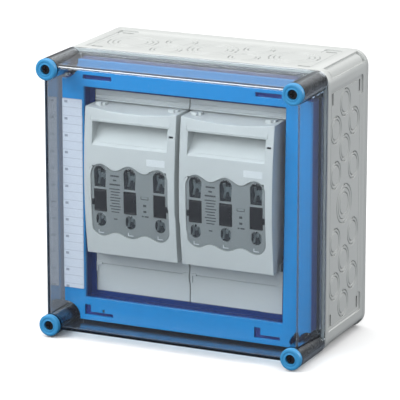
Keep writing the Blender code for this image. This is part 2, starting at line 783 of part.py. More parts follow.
def make_switch_body():
    """The moulded base of a switch: deck, pole barriers, side walls and the hinge ears."""
    back = BOSS_FRONT + GAP + PLATE_THICKNESS + GAP
    inside = BODY_HALF - BODY_WALL
    end = BODY_HALF_HEIGHT - BODY_WALL
    cross_wall = CHAMBER_HALF_HEIGHT + 2 * MM
    barrier = POLE_PITCH / 2
    columns = (
        (-inside, -barrier - BARRIER / 2),
        (-barrier + BARRIER / 2, barrier - BARRIER / 2),
        (barrier + BARRIER / 2, inside),
    )
    levels = (
        (-end, -cross_wall),
        (-CHAMBER_HALF_HEIGHT, CHAMBER_HALF_HEIGHT),
        (cross_wall, end),
    )

    def chambers(bm):
        for left, right in columns:
            for low, high in levels:
                add_box(bm, left, right, BODY_DECK, BODY_FRONT + PAST, low, high)

    def cover_seats(bm):
        reach = BODY_HALF + PAST
        past_end = BODY_HALF_HEIGHT + PAST
        front = BODY_FRONT + PAST
        add_box(bm, -reach, reach, TERMINAL_WALL_FRONT, front, TOP_COVER_BOTTOM - GAP, past_end)
        add_box(bm, -reach, reach, TERMINAL_WALL_FRONT, front, -past_end, BOTTOM_COVER_TOP + GAP)

    def ears(bm):
        root = BODY_FRONT - EAR_ROOT
        profile = [(root, PIVOT_HEIGHT + EAR_RADIUS), (root, PIVOT_HEIGHT - EAR_RADIUS)]
        for i in range(EAR_STEPS + 1):
            angle = -math.pi / 2 + math.pi * i / EAR_STEPS
            depth = PIVOT_DEPTH + EAR_RADIUS * math.cos(angle)
            profile.append((depth, PIVOT_HEIGHT + EAR_RADIUS * math.sin(angle)))
        outside = BODY_HALF - 0.1 * MM
        add_side_prism(bm, profile, outside - EAR_THICKNESS, outside)
        add_side_prism(bm, profile, -outside, EAR_THICKNESS - outside)

    def peg_holes(bm):
        for side in (-1, 1):
            ends = sorted((side * (inside - PAST), side * (BODY_HALF + PAST)))
            add_cross_cylinder(bm, PIVOT_DEPTH, PIVOT_HEIGHT, PEG_HOLE, *ends)

    def contact_notches(bm):
        half = CONTACT_HALF + 0.5 * MM
        depths = CONTACT_BACK - GAP, CONTACT_BACK + CONTACT_SHEET + 0.4 * MM
        for x in POLES.values():
            for low in (CHAMBER_HALF_HEIGHT - PAST, -cross_wall - PAST):
                add_box(bm, x - half, x + half, *depths, low, low + 2 * MM + 2 * PAST)

    def block(bm):
        add_box(bm, -BODY_HALF, BODY_HALF, back, BODY_FRONT, -BODY_HALF_HEIGHT, BODY_HALF_HEIGHT)

    def underside(bm):
        add_box(bm, -inside, inside, back - PAST, BODY_DECK - BODY_WALL, -end, end)

    body = make_object("switch_body", block)
    cut(body, underside)
    cut(body, chambers)
    cut(body, cover_seats)
    join(body, ears)
    cut(body, peg_holes)
    cut(body, contact_notches)
    return finish(body, "switch_grey")


def make_terminal_cover(name, z_low, z_high):
    """A cap over one row of terminals, open behind."""
    back = TERMINAL_WALL_FRONT + 0.4 * MM
    inside = COVER_HALF - COVER_WALL
    hollow_front = COVER_FRONT - COVER_WALL
    low, high = z_low + COVER_WALL, z_high - COVER_WALL
    outer = -COVER_HALF, COVER_HALF, back, COVER_FRONT, z_low, z_high
    cover = make_object(name, lambda bm: add_box(bm, *outer))
    cut(cover, lambda bm: add_box(bm, -inside, inside, back - PAST, hollow_front, low, high))
    return finish(cover, "cover_grey")


def make_handle():
    """The bulging handle that carries the fuse-links, with its grip recess and hinge pegs."""
    inside = HANDLE_HALF - HANDLE_WALL
    pad_low, pad_high = PLATE_BOTTOM - 3 * MM, PLATE_TOP + 3 * MM
    floor_inset = PLATE_INSET + PLATE_SHEET + PANE_SHEET + 2 * GAP
    post_ends = CERAMIC_FRONT + 0.4 * MM, handle_front(0) - floor_inset - 1 * MM

    def outer(bm):
        profile = bulged_profile(HANDLE_BOTTOM, HANDLE_TOP, 0.0, HANDLE_BACK)
        add_side_prism(bm, profile, -HANDLE_HALF, HANDLE_HALF)

    def hollow(bm):
        profile = bulged_profile(
            HANDLE_BOTTOM + 2 * MM, HANDLE_TOP - HANDLE_WALL, HANDLE_WALL, HANDLE_BACK - PAST
        )
        add_side_prism(bm, profile, -inside, inside)

    def window_pad(bm):
        profile = sheet_profile(pad_low, pad_high, 1.5 * MM, floor_inset + 0.7 * MM)
        add_side_prism(bm, profile, -PLATE_HALF_WIDTH - 2 * MM, PLATE_HALF_WIDTH + 2 * MM)

    def grip_wedge(wall):
        front = handle_front(GRIP_BOTTOM) - 1 * MM
        return [
            (front - wall, GRIP_BOTTOM - wall),
            (GRIP_FLOOR - wall, GRIP_TOP - 0.6 * wall),
            (GRIP_FLOOR - wall, GRIP_TOP + wall),
            (front - 1 * MM, GRIP_TOP + wall),
        ]

    def grip_cut(bm):
        profile = [
            (handle_front(GRIP_BOTTOM), GRIP_BOTTOM),
            (GRIP_FLOOR, GRIP_TOP - 1 * MM),
            (GRIP_FLOOR, GRIP_TOP),
            (BULGE_FRONT + PAST, GRIP_TOP),
            (BULGE_FRONT + PAST, GRIP_BOTTOM),
        ]
        add_side_prism(bm, profile, -GRIP_HALF, GRIP_HALF)

    def hinge_relief(bm):
        for side in (-1, 1):
            ends = sorted((side * (HANDLE_HALF - RELIEF_DEPTH), side * (HANDLE_HALF + PAST)))
            depths = HANDLE_BACK - PAST, PIVOT_DEPTH + RELIEF_SIZE
            add_box(bm, *ends, *depths, HANDLE_BOTTOM - PAST, PIVOT_HEIGHT + RELIEF_SIZE)

    def pegs(bm):
        for side in (-1, 1):
            start = side * (HANDLE_HALF - RELIEF_DEPTH - 0.25 * MM)
            ends = sorted((start, side * (BODY_HALF - 0.4 * MM)))
            add_cross_cylinder(bm, PIVOT_DEPTH, PIVOT_HEIGHT, PEG_RADIUS, *ends, steps=SMALL_STEPS)

    def fuse_posts(bm):
        near, far, low, high = FUSE_POST
        for x in POLES.values():
            for side in (-1, 1):
                ends = sorted((x + side * near, x + side * far))
                add_box(bm, *ends, *post_ends, low, high)

    def pole_slots(bm):
        half, low, high = POLE_SLOT
        for x in POLES.values():
            add_box(bm, x - half, x + half, *CUTTER_DEPTHS, low, high)

    wedge = grip_wedge(2 * MM)
    pocket_profile = sheet_profile(pad_low, pad_high, -6 * MM, floor_inset + 6 * MM)
    handle = make_object("handle", outer)
    cut(handle, hollow)
    join(handle, window_pad)
    join(handle, lambda bm: add_side_prism(bm, wedge, -GRIP_HALF - 2 * MM, GRIP_HALF + 2 * MM))
    cut(handle, grip_cut)
    pocket = make_object(
        "handle_pocket", lambda bm: add_prism(bm, wavy_plate_outline(POCKET_GAP), *CUTTER_DEPTHS)
    )
    keep_inside(pocket, lambda bm: add_side_prism(bm, pocket_profile, -HANDLE_HALF, HANDLE_HALF))
    cut(handle, lambda bm: bm.from_mesh(pocket.data))
    bpy.data.objects.remove(pocket)
    cut(handle, pole_slots)
    join(handle, fuse_posts)
    cut(handle, hinge_relief)
    join(handle, pegs)
    return finish(handle, "handle_grey")


def make_window_plate():
    """The inset plate with three openings at each pole."""
    middle_half, middle_low, middle_high = MIDDLE_WINDOW

    def sheet(bm):
        profile = sheet_profile(PLATE_BOTTOM - PAST, PLATE_TOP + PAST, PLATE_INSET, PLATE_SHEET)
        add_side_prism(bm, profile, -PLATE_HALF_WIDTH - PAST, PLATE_HALF_WIDTH + PAST)

    def openings(bm):
        for x in POLES.values():
            outlines = (
                arch(x, *UPPER_WINDOW),
                rectangle(x - middle_half, x + middle_half, middle_low, middle_high),
                oval(x, *LOWER_WINDOW),
            )
            for outline in outlines:
                add_prism(bm, outline, *CUTTER_DEPTHS)

    plate = make_object("window_plate", sheet)
    keep_inside(plate, lambda bm: add_prism(bm, wavy_plate_outline(), *CUTTER_DEPTHS))
    cut(plate, openings)
    return finish(plate, "window_grey")


def make_window_pane():
    """The clear pane behind the window plate."""
    inset = PLATE_INSET + PLATE_SHEET + GAP
    profile = sheet_profile(*PANE_HEIGHTS, inset, PANE_SHEET)
    ends = -PANE_HALF_WIDTH, PANE_HALF_WIDTH
    pane = make_object("window_pane", lambda bm: add_side_prism(bm, profile, *ends))
    return finish(pane, "pane_clear")


def make_contact():
    """A fixed contact: a spring jaw for the fuse blade, a bar and a terminal clamp with its screw."""
    bar_front = CONTACT_BACK + CONTACT_SHEET
    leaf_inner = BLADE_HALF_THICKNESS + JAW_GAP

    def bar(bm):
        add_box(bm, -CONTACT_HALF, CONTACT_HALF, CONTACT_BACK, bar_front, JAW_BOTTOM, CONTACT_END)

    root = bar_front - 0.5 * MM
    clamp_half, clamp_rise = CLAMP_HALF
    screw_radius, screw_height = CLAMP_SCREW
    screw_ends = CLAMP_FRONT - PAST, CLAMP_FRONT + screw_height

    def jaw_and_clamp(bm):
        for side in (-1, 1):
            ends = sorted((side * leaf_inner, side * (leaf_inner + CONTACT_SHEET)))
            add_box(bm, *ends, root, JAW_FRONT, JAW_BOTTOM + 0.2 * MM, JAW_TOP)
        heights = CLAMP_HEIGHT - clamp_rise, CLAMP_HEIGHT + clamp_rise
        add_box(bm, -clamp_half, clamp_half, root, CLAMP_FRONT, *heights)

    contact = make_object("contact", bar)
    join(contact, jaw_and_clamp)
    join(contact, lambda bm: add_cylinder(bm, 0, CLAMP_HEIGHT, screw_radius, *screw_ends, SMALL_STEPS))
    return finish(contact, "contact_silver")


def make_fuse_body():
    """The ceramic tube of a fuse-link."""
    length = CERAMIC_HALF_LENGTH
    half = CERAMIC_HALF_WIDTH
    bore_half, bore_back, bore_front = CERAMIC_BORE
    outer = -half, half, CERAMIC_BACK, CERAMIC_FRONT, -length, length
    bore = -bore_half, bore_half, bore_back, bore_front, -length - PAST, length + PAST
    body = make_object("fuse_body", lambda bm: add_box(bm, *outer))
    cut(body, lambda bm: add_box(bm, *bore))
    return finish(body, "fuse_ceramic")


def make_fuse_blades():
    """The two knife blades with their end plates, joined by the fuse element inside the tube."""
    plate_inner = CERAMIC_HALF_LENGTH + GAP
    plate_outer = plate_inner + 1.5 * MM
    half = BLADE_HALF_THICKNESS
    element_half, element_back, element_front = ELEMENT
    reach = plate_inner + 0.5 * MM

    def end_plates(bm):
        for side in (-1, 1):
            ends = sorted((side * plate_inner, side * plate_outer))
            add_box(bm, -END_PLATE_HALF, END_PLATE_HALF, BLADE_BACK - 0.5 * MM, END_PLATE_FRONT, *ends)

    def blades(bm):
        for side in (-1, 1):
            ends = sorted((side * (plate_outer - 0.5 * MM), side * BLADE_TIP))
            add_box(bm, -half, half, BLADE_BACK, BLADE_FRONT, *ends)

    element = -element_half, element_half, element_back, element_front, -reach, reach
    fuse = make_object("fuse_blades", lambda bm: add_box(bm, *element))
    join(fuse, end_plates)
    join(fuse, blades)
    return finish(fuse, "contact_silver")


def make_switches():
    """Both switches, each with its handle assembly under an empty on the hinge axis."""
    fixed = {
        "body": make_switch_body(),
        "top_cover": make_terminal_cover("top_cover", TOP_COVER_BOTTOM, COVER_END),
        "bottom_cover": make_terminal_cover("bottom_cover", -COVER_END, BOTTOM_COVER_TOP),
    }
    swinging = {
        "handle": make_handle(),
        "window_plate": make_window_plate(),
        "window_pane": make_window_pane(),
    }
    fuse_parts = {"fuse_body": make_fuse_body(), "fuse_blades": make_fuse_blades()}
    contact = make_contact()
    pivot = at(0, PIVOT_DEPTH, PIVOT_HEIGHT)
    for side, sign in SIDES.items():
        switch = make_empty(side + "_switch", (sign * SWITCH_PITCH / 2, 0, 0))
        hinge = make_empty(side + "_hinge", pivot, switch)
        for name, item in fixed.items():
            copy_to(item, f"{side}_{name}", switch, (0, 0, 0))
        for name, item in swinging.items():
            copy_to(item, f"{side}_{name}", hinge, -pivot)
        for number, x in POLES.items():
            copy_to(contact, f"{side}_upper_contact_{number}", switch, (x, 0, 0))
            copy_to(contact, f"{side}_lower_contact_{number}", switch, (x, 0, 0), turned=True)
            for name, item in fuse_parts.items():
                copy_to(item, f"{side}_{name}_{number}", hinge, Vector((x, 0, 0)) - pivot)
    for item in (*fixed.values(), *swinging.values(), *fuse_parts.values(), contact):
        bpy.data.objects.remove(item)


def main():
    for item in list(bpy.data.objects):
        bpy.data.objects.remove(item)
    for name in MATERIALS:
        make_material(name)
    make_base()
    make_corner_posts()
    make_gasket()
    make_mounting_plate()
    make_cover_frame()
    make_label_strip()
    make_lid()
    make_fasteners()
    make_switches()


main()
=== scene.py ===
"""Looks of a wall-mounted DC combiner box: moulded enclosure, clear lid, cover frame and two
fuse switch-disconnectors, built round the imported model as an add-on that is run as a script."""

import json
import math

import bmesh
import bpy
from bpy.props import FloatProperty, FloatVectorProperty, IntProperty, PointerProperty
from mathutils import Matrix, Vector


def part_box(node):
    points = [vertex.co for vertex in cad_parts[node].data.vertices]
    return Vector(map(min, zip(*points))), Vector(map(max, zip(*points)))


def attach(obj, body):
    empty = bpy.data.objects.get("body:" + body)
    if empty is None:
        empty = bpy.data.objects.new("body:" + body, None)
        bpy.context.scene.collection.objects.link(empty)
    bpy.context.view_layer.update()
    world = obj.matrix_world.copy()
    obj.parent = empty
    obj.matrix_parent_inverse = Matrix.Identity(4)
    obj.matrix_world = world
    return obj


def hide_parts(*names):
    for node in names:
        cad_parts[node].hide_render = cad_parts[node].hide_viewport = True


bl_info = {
    "name": "Combiner box",
    "version": (1, 0, 0),
    "blender": (4, 5, 0),
    "location": "View3D > Sidebar > Combiner box",
    "description": "Builds the moulded, clear and printed pieces of a DC combiner box",
    "category": "Object",
}

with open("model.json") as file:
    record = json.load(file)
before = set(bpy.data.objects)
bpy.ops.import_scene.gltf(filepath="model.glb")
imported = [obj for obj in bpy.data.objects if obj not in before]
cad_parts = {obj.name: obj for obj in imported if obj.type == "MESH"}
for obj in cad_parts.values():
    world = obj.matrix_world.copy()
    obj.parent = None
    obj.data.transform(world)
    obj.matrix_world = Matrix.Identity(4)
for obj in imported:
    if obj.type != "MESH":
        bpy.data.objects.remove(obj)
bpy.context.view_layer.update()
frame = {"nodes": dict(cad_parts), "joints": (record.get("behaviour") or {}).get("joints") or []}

MM = 0.001

CORNERS = {
    "top_left": (-1, 1),
    "top_right": (1, 1),
    "bottom_left": (-1, -1),
    "bottom_right": (1, -1),
}
SIDES = ("left", "right")


class Extent:
    """The box of a CAD node: x, z and depth from the wall, which is -y."""

    def __init__(self, node):
        low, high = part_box(node)
        self.x_low, self.x_high = low.x, high.x
        self.z_low, self.z_high = low.z, high.z
        self.back, self.front = -high.y, -low.y
        self.x = (low.x + high.x) / 2
        self.z = (low.z + high.z) / 2


BASE = Extent("enclosure_base")
LID = Extent("lid_shell")
RING = Extent("lid_ring_top_right")
SCREW = Extent("lid_screw_top_right")
GASKET = Extent("lid_gasket")
COVER_FRAME = Extent("cover_frame")
LABEL = Extent("label_strip")
HANDLE = Extent("right_handle")
WINDOW = Extent("right_window_plate")
PANE = Extent("right_window_pane")
TOP_COVER = Extent("right_top_cover")
BOTTOM_COVER = Extent("right_bottom_cover")
HANDLE_BODY = "{side}_handle_group"
POLES = [Extent(f"right_fuse_body_{n}").x - HANDLE.x for n in (1, 2, 3)]
POLE_PITCH = POLES[1] - POLES[0]
HINGE = next(j for j in frame["joints"] if j["name"] == "right_handle_swing")
HINGE_DEPTH, HINGE_Z = -HINGE["pos_m"][1], HINGE["pos_m"][2]

BOX_HALF = BASE.x_high
BOX_CORNER = 16 * MM
WALL = 3 * MM
RIM_BACK = BASE.front - 9 * MM
FASTENER_AXIS = RING.x
TUBE_RADIUS = 11.5 * MM
TUBE_BORE = 8.2 * MM
LID_FRONT = LID.front - 0.3 * MM
GASKET_NOTCH = TUBE_RADIUS + 3.5 * MM
FRAME_NOTCH = 16.5 * MM
FRAME_OPENING = 114 * MM
FRAME_WALL = 2.5 * MM
FLANGE_BACK = 118.1 * MM
FLANGE_FRONT = 120 * MM
HANDLE_HALF = (HANDLE.x_high - HANDLE.x_low) / 2 - 0.8 * MM
BULGE_HEIGHT = 25 * MM
BULGE_FALL = 5 * MM
KNOCKOUT_MIDDLE = 62 * MM
POCKET_DEPTH = 22 * MM
PLATE_BOSS = 118 * MM
PLATE_BOSS_FRONT = 42 * MM
WALL_HOLE_X, WALL_HOLE_Z = 70 * MM, 131.5 * MM
BUMP_DISTANCE = 0.1 * MM
# Painted shade: the navy that the cover frame turns to on its walls that run back into the box.
FRAME_SHADE_NAVY = (0.006, 0.030, 0.16, 1)
FRAME_SLOTS = ((-115 * MM, -82 * MM), (80 * MM, 109 * MM))
FRAME_SLOT_TOP = (122 * MM, 126.5 * MM)
FRAME_SLOT_BOTTOM = (-133 * MM, -129.5 * MM)
FRAME_SLOT_LEG = (7 * MM, -122 * MM)
PLATE_INSET = 1 * MM
UPPER_WINDOW = (6.8 * MM, 6.1 * MM, 13 * MM, 35.5 * MM)
LOWER_WINDOW = (5.6 * MM, -30 * MM, -15.5 * MM)
BLOCK_WINDOW = (7.2 * MM, -13.5 * MM, 10.5 * MM)
AIM = Vector((-4.2 * MM, -85 * MM, -7.9 * MM))
SENSOR_WIDTH = 36
FOCAL_LENGTH = 263.7


# Settings that a user would change


def length(name, description, default):
    return FloatProperty(name=name, description=description, default=default, unit="LENGTH")


def angle(name, description, degrees):
    return FloatProperty(name=name, description=description, default=math.radians(degrees), subtype="ANGLE")


def power(name, description, watts):
    return FloatProperty(name=name, description=description, default=watts, unit="POWER")


def colour(name, description, default):
    return FloatVectorProperty(
        name=name, description=description, default=default, subtype="COLOR", min=0, max=1
    )


class BoxSizes(bpy.types.PropertyGroup):
    """Sizes of the fine moulded detail."""

    groove_depth: length("Knockout groove depth", "How deep the knockout rings are", 1.5 * MM)
    edge_round: length("Edge rounding", "Radius along moulded edges", 0.6 * MM)
    panel_depth: length("Wall panel depth", "How far the wall panels are set in", 1.1 * MM)
    label_pitch: length("Label line pitch", "Distance between the label's ruled lines", 9.1 * MM)
    arc_steps: IntProperty(
        name="Arc steps", description="Straight pieces in a quarter circle", default=10, min=3
    )


class BoxColours(bpy.types.PropertyGroup):
    """Colours of the plastics."""

    enclosure: colour("Enclosure", "Moulded base", (0.53, 0.55, 0.54))
    cover_frame: colour("Cover frame", "Frame round the switches", (0.012, 0.27, 0.66))
    ring: colour("Fastener rings", "Rings on the lid fasteners", (0.045, 0.30, 0.60))
    handle: colour("Handles", "Switch handles", (0.62, 0.64, 0.63))
    window_plate: colour("Window plates", "Plates inset in the handles", (0.27, 0.29, 0.29))
    lid_tint: colour("Lid", "Tint of the clear lid", (0.97, 0.985, 0.985))


class StageSettings(bpy.types.PropertyGroup):
    """Lights, surroundings and camera."""

    key_power: power("Key light", "Power of the upper left light", 27.0)
    front_power: power("Front light", "Power of the front light", 11.0)
    side_power: power("Side light", "Power of the light at the right and behind", 15.0)
    overhead: FloatProperty(name="Overhead", description="Brightness straight above", default=1.4)
    horizon: FloatProperty(name="Horizon", description="Brightness at the horizon", default=0.12)
    azimuth: angle("Camera azimuth", "Angle to the right of the front", 24.6)
    elevation: angle("Camera elevation", "Angle above the horizon", 15.06)
    distance: length("Camera distance", "From the aim point", 3.068)


# Outlines: lists of (x, z) points, counter-clockwise seen from the front


def at(x, depth, z):
    """The point x across, depth from the wall and z up."""
    return Vector((x, -depth, z))


def rounded_rect(half_x, half_z, radius, steps):
    points = []
    for corner, (sx, sz) in enumerate(((1, 1), (-1, 1), (-1, -1), (1, -1))):
        for step in range(steps + 1):
            angle = (corner + step / steps) * math.pi / 2
            points.append((
                sx * (half_x - radius) + radius * math.cos(angle),
                sz * (half_z - radius) + radius * math.sin(angle),
            ))
    return points


def fastener_arc(radius, angles):
    """Points around the top right fastener's axis."""
    return [
        (FASTENER_AXIS + radius * math.cos(turn), FASTENER_AXIS + radius * math.sin(turn)) for turn in angles
    ]


def notched_square(half, radius, steps):
    """A square whose corners are hollow arcs around the four fastener axes."""
    lean = math.asin((half - FASTENER_AXIS) / radius)
    start, end = -math.pi / 2 + lean, -math.pi - lean
    notch = fastener_arc(radius, [start + (end - start) * i / (2 * steps) for i in range(2 * steps + 1)])
    points = []
    for corner in range(4):
        turn = Matrix.Rotation(corner * math.pi / 2, 2)
        points += [tuple(turn @ Vector(point)) for point in notch]
    return points


def rectangle(x_low, x_high, z_low, z_high):
    return [(x_low, z_low), (x_high, z_low), (x_high, z_high), (x_low, z_high)]


def moved(outline, x, z):
    return [(px + x, pz + z) for px, pz in outline]


def circle(radius, steps=48):
    angles = [2 * math.pi * i / steps for i in range(steps)]
    return [(radius * math.cos(a), radius * math.sin(a)) for a in angles]


def wavy_outline(margin, steps):
    """The window plate's outline: a lobe at each pole above and below, and round corners."""
    half = (WINDOW.x_high - WINDOW.x_low) / 2 + margin
    corner = 12 * MM
    radius = corner + margin
    wave_end = half - margin - corner
    top, top_dip = WINDOW.z_high, WINDOW.z_high - 6.4 * MM
    bottom, bottom_dip = WINDOW.z_low, WINDOW.z_low + 5 * MM

    def edge(x, lobe, dip):
        return (lobe + dip) / 2 + (lobe - dip) / 2 * math.cos(2 * math.pi * x / POLE_PITCH)

    def arc(sign_x, centre_z, first):
        return [
            (
                sign_x * (half - radius) + radius * math.cos(first + i / steps * math.pi / 2),
                centre_z + radius * math.sin(first + i / steps * math.pi / 2),
            )
            for i in range(1, steps + 1)
        ]

    count = 6 * steps
    xs = [-wave_end + 2 * wave_end * i / count for i in range(count + 1)]
    low_centre, high_centre = bottom + corner, top - corner
    return (
        [(x, edge(x, bottom, bottom_dip) - margin) for x in xs]
        + arc(1, low_centre, -math.pi / 2)
        + arc(1, high_centre, 0.0)[:-1]
        + [(x, edge(x, top, top_dip) + margin) for x in reversed(xs)]
        + arc(-1, high_centre, math.pi / 2)
        + arc(-1, low_centre, math.pi)[:-1]
    )


def arch(half_top, half_bottom, z_low, z_high, steps=12):
    """An opening with a round top that narrows towards its foot."""
    centre = z_high - half_top
    curve = [
        (half_top * math.cos(math.pi * i / steps), centre + half_top * math.sin(math.pi * i / steps))
        for i in range(steps + 1)
    ]
    return curve + [(-half_bottom, z_low), (half_bottom, z_low)]


def oval(half, z_low, z_high, steps=12):
    points = []
    for centre, first in ((z_high - half, 0.0), (z_low + half, math.pi)):
        for i in range(steps + 1):
            angle = first + math.pi * i / steps
            points.append((half * math.cos(angle), centre + half * math.sin(angle)))
    return points


def layered(outline, depth):
    return [at(x, depth, z) for x, z in outline]


# Solids: each function adds one closed body to a bmesh


def add_loft(bm, loops, ring=False):
    """Skin through loops of equally many points, capped at both ends or closed into a ring."""
    rows = [[bm.verts.new(point) for point in loop] for loop in loops]
    following = rows[1:] + rows[:1] if ring else rows[1:]
    for near, far in zip(rows, following):
        for i, vert in enumerate(near):
            after = (i + 1) % len(near)
            bm.faces.new((vert, near[after], far[after], far[i]))
    if not ring:
        bm.faces.new(reversed(rows[0]))
        bm.faces.new(rows[-1])


def add_prism(bm, outline, back, front):
    add_loft(bm, [layered(outline, back), layered(outline, front)])


def add_side_prism(bm, profile, left, right):
    """A profile of (depth, z) points carried across in X."""
    add_loft(bm, [[at(x, depth, z) for depth, z in profile] for x in (left, right)])


def add_box(bm, x_low, x_high, back, front, z_low, z_high):
    add_prism(bm, rectangle(x_low, x_high, z_low, z_high), back, front)


def add_cylinder(bm, x, z, radius, back, front, steps=48):
    add_prism(bm, moved(circle(radius, steps), x, z), back, front)


def add_turned(bm, profile, steps=48):
    """A turned piece along the depth, from (radius, depth) points."""
    add_loft(bm, [layered(circle(radius, steps), depth) for radius, depth in profile])


def add_turned_ring(bm, profile, steps=48):
    """A turned piece with a hole through it, from a closed (radius, depth) profile."""
    add_loft(bm, [layered(circle(radius, steps), depth) for radius, depth in profile], ring=True)


def new_piece(name, add_shapes):
    """An object from the closed bodies that add_shapes puts in a bmesh, with faces pointing out."""
    bm = bmesh.new()
    add_shapes(bm)
    bmesh.ops.recalc_face_normals(bm, faces=bm.faces)
    mesh = bpy.data.meshes.new(name)
    bm.to_mesh(mesh)
    bm.free()
    piece = bpy.data.objects.new(name, mesh)
    bpy.context.scene.collection.objects.link(piece)
    return piece


def apply_modifiers(piece):
    """Keep the evaluated shape as the piece's mesh."""
    evaluated = piece.evaluated_get(bpy.context.evaluated_depsgraph_get())
    result = bpy.data.meshes.new_from_object(evaluated)
    piece.modifiers.clear()
    piece.data = result


def shape_with(piece, operation, add_shapes):
    """Cut, join or intersect the piece with the shapes."""
    tool = new_piece(piece.name + "_tool", add_shapes)
    modifier = piece.modifiers.new(operation, "BOOLEAN")
    modifier.operation = operation
    modifier.solver = "EXACT"
    modifier.object = tool
    apply_modifiers(piece)
    bpy.data.objects.remove(tool)


def cut(piece, add_shapes):
    shape_with(piece, "DIFFERENCE", add_shapes)


def join(piece, add_shapes):
    shape_with(piece, "UNION", add_shapes)


def keep_inside(piece, add_shapes):
    shape_with(piece, "INTERSECT", add_shapes)


def soften(piece, width, segments=2, angle=30.0):
    """Round the piece's edges, with flat faces that stay flat."""
    piece.data.shade_smooth()
    modifier = piece.modifiers.new("Edge rounding", "BEVEL")
    modifier.width = width
    modifier.segments = segments
    modifier.limit_method = "ANGLE"
    modifier.angle_limit = math.radians(angle)
    modifier.use_clamp_overlap = False
    modifier.harden_normals = True
    return piece


def smooth(piece, angle=35.0):
    piece.data.shade_smooth()
    piece.data.set_sharp_from_angle(angle=math.radians(angle))
    return piece


def copy_piece(piece, name, offset):
    """A copy that shares the mesh and the modifiers, moved by offset."""
    twin = piece.copy()
    twin.name = name
    twin.location = piece.location + Vector(offset)
    bpy.context.scene.collection.objects.link(twin)
    return twin


def dress(piece, material, slot, body, *nodes):
    """Give a piece its finish and its body, and hide the CAD nodes that it stands for."""
    piece.data.materials.clear()
    piece.data.materials.append(material)
    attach(piece, body)
    if nodes:
        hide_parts(*nodes)
    return piece


# Shader node groups


def node(tree, kind, **settings):
    made = tree.nodes.new(kind)
    for name, value in settings.items():
        setattr(made, name, value)
    return made


def math_node(tree, operation, first, second=None):
    made = node(tree, "ShaderNodeMath", operation=operation)
    for socket, value in zip(made.inputs, (first, second)):
        if value is None:
            continue
        if isinstance(value, (int, float)):
            socket.default_value = value
        else:
            tree.links.new(value, socket)
    return made.outputs[0]


def mix_colour(tree, factor, first, second):
    made = node(tree, "ShaderNodeMix", data_type="RGBA")
    for socket, value in ((made.inputs[0], factor), (made.inputs[6], first), (made.inputs[7], second)):
        if isinstance(value, (int, float, tuple)):
            socket.default_value = value
        else:
            tree.links.new(value, socket)
    return made.outputs[2]


def local_place(tree):
    """The place on the piece itself, in metres."""
    return node(tree, "ShaderNodeTexCoord").outputs["Object"]


def noise(tree, vector, scale, detail=4.0, roughness=0.55):
    """Noise whose scale is a number or a socket."""
    made = node(tree, "ShaderNodeTexNoise")
    if isinstance(scale, (int, float)):
        made.inputs["Scale"].default_value = scale
    else:
        tree.links.new(scale, made.inputs["Scale"])
    made.inputs["Detail"].default_value = detail
    made.inputs["Roughness"].default_value = roughness
    tree.links.new(vector, made.inputs["Vector"])
    return made.outputs["Fac"]


def ranged(tree, value, low, high, out_low=0.0, out_high=1.0, kind="LINEAR"):
    """Carry low to high over to out_low to out_high."""
    made = node(tree, "ShaderNodeMapRange", interpolation_type=kind)
    for name, number in (("From Min", low), ("From Max", high), ("To Min", out_low), ("To Max", out_high)):
        made.inputs[name].default_value = number
    tree.links.new(value, made.inputs["Value"])
    return made.outputs[0]


def scaled_colour(tree, colour_socket, factor):
    made = node(tree, "ShaderNodeVectorMath", operation="SCALE")
    tree.links.new(colour_socket, made.inputs[0])
    tree.links.new(factor, made.inputs["Scale"])
    return made.outputs[0]


def bumped(tree, height, strength):
    """A normal from a height, with a strength that is a number or a socket."""
    made = node(tree, "ShaderNodeBump")
    made.inputs["Distance"].default_value = BUMP_DISTANCE
    if isinstance(strength, float):
        made.inputs["Strength"].default_value = strength
    else:
        tree.links.new(strength, made.inputs["Strength"])
    tree.links.new(height, made.inputs["Height"])
    return made.outputs[0]


def axis(tree, vector, name):
    split = node(tree, "ShaderNodeSeparateXYZ")
    tree.links.new(vector, split.inputs[0])
    return split.outputs[name]


def new_group(name, inputs, outputs):
    """An empty node group with its sockets: (group, its inputs' outputs, its outputs' inputs)."""
    group = bpy.data.node_groups.new(name, "ShaderNodeTree")
    kinds = {"Colour": "NodeSocketColor", "Dust": "NodeSocketColor", "Normal": "NodeSocketVector"}
    for socket_name, default in inputs.items():
        kind = kinds.get(socket_name, "NodeSocketFloat")
        group.interface.new_socket(
            name=socket_name, in_out="INPUT", socket_type=kind
        ).default_value = default
    for socket_name in outputs:
        kind = kinds.get(socket_name, "NodeSocketFloat")
        group.interface.new_socket(name=socket_name, in_out="OUTPUT", socket_type=kind)
    return group, node(group, "NodeGroupInput").outputs, node(group, "NodeGroupOutput").inputs


def moulded_surface_group():
    """Moulded plastic: a faint flow mottle, an uneven gloss and the mould's fine spark grain."""
    name = "Moulded surface"
    if name in bpy.data.node_groups:
        return bpy.data.node_groups[name]
    group, inputs, outputs = new_group(name, {
        "Colour": (0.6, 0.6, 0.6, 1), "Mottle": 0.05, "Roughness": 0.4, "Gloss spread": 0.08,
        "Grain scale": 900.0, "Grain depth": 0.05,
    }, ("Colour", "Roughness", "Normal"))
    place = local_place(group)
    flow = math_node(group, "SUBTRACT", noise(group, place, 14.0), 0.5)
    shade = math_node(group, "ADD", math_node(group, "MULTIPLY", flow, inputs["Mottle"]), 1.0)
    group.links.new(scaled_colour(group, inputs["Colour"], shade), outputs["Colour"])
    patches = math_node(group, "SUBTRACT", noise(group, place, 37.0, detail=6.0), 0.5)
    spread = math_node(group, "MULTIPLY", patches, inputs["Gloss spread"])
    group.links.new(math_node(group, "ADD", inputs["Roughness"], spread), outputs["Roughness"])
    grain = noise(group, place, inputs["Grain scale"], detail=3.0, roughness=0.5)
    group.links.new(bumped(group, grain, inputs["Grain depth"]), outputs["Normal"])
    return group


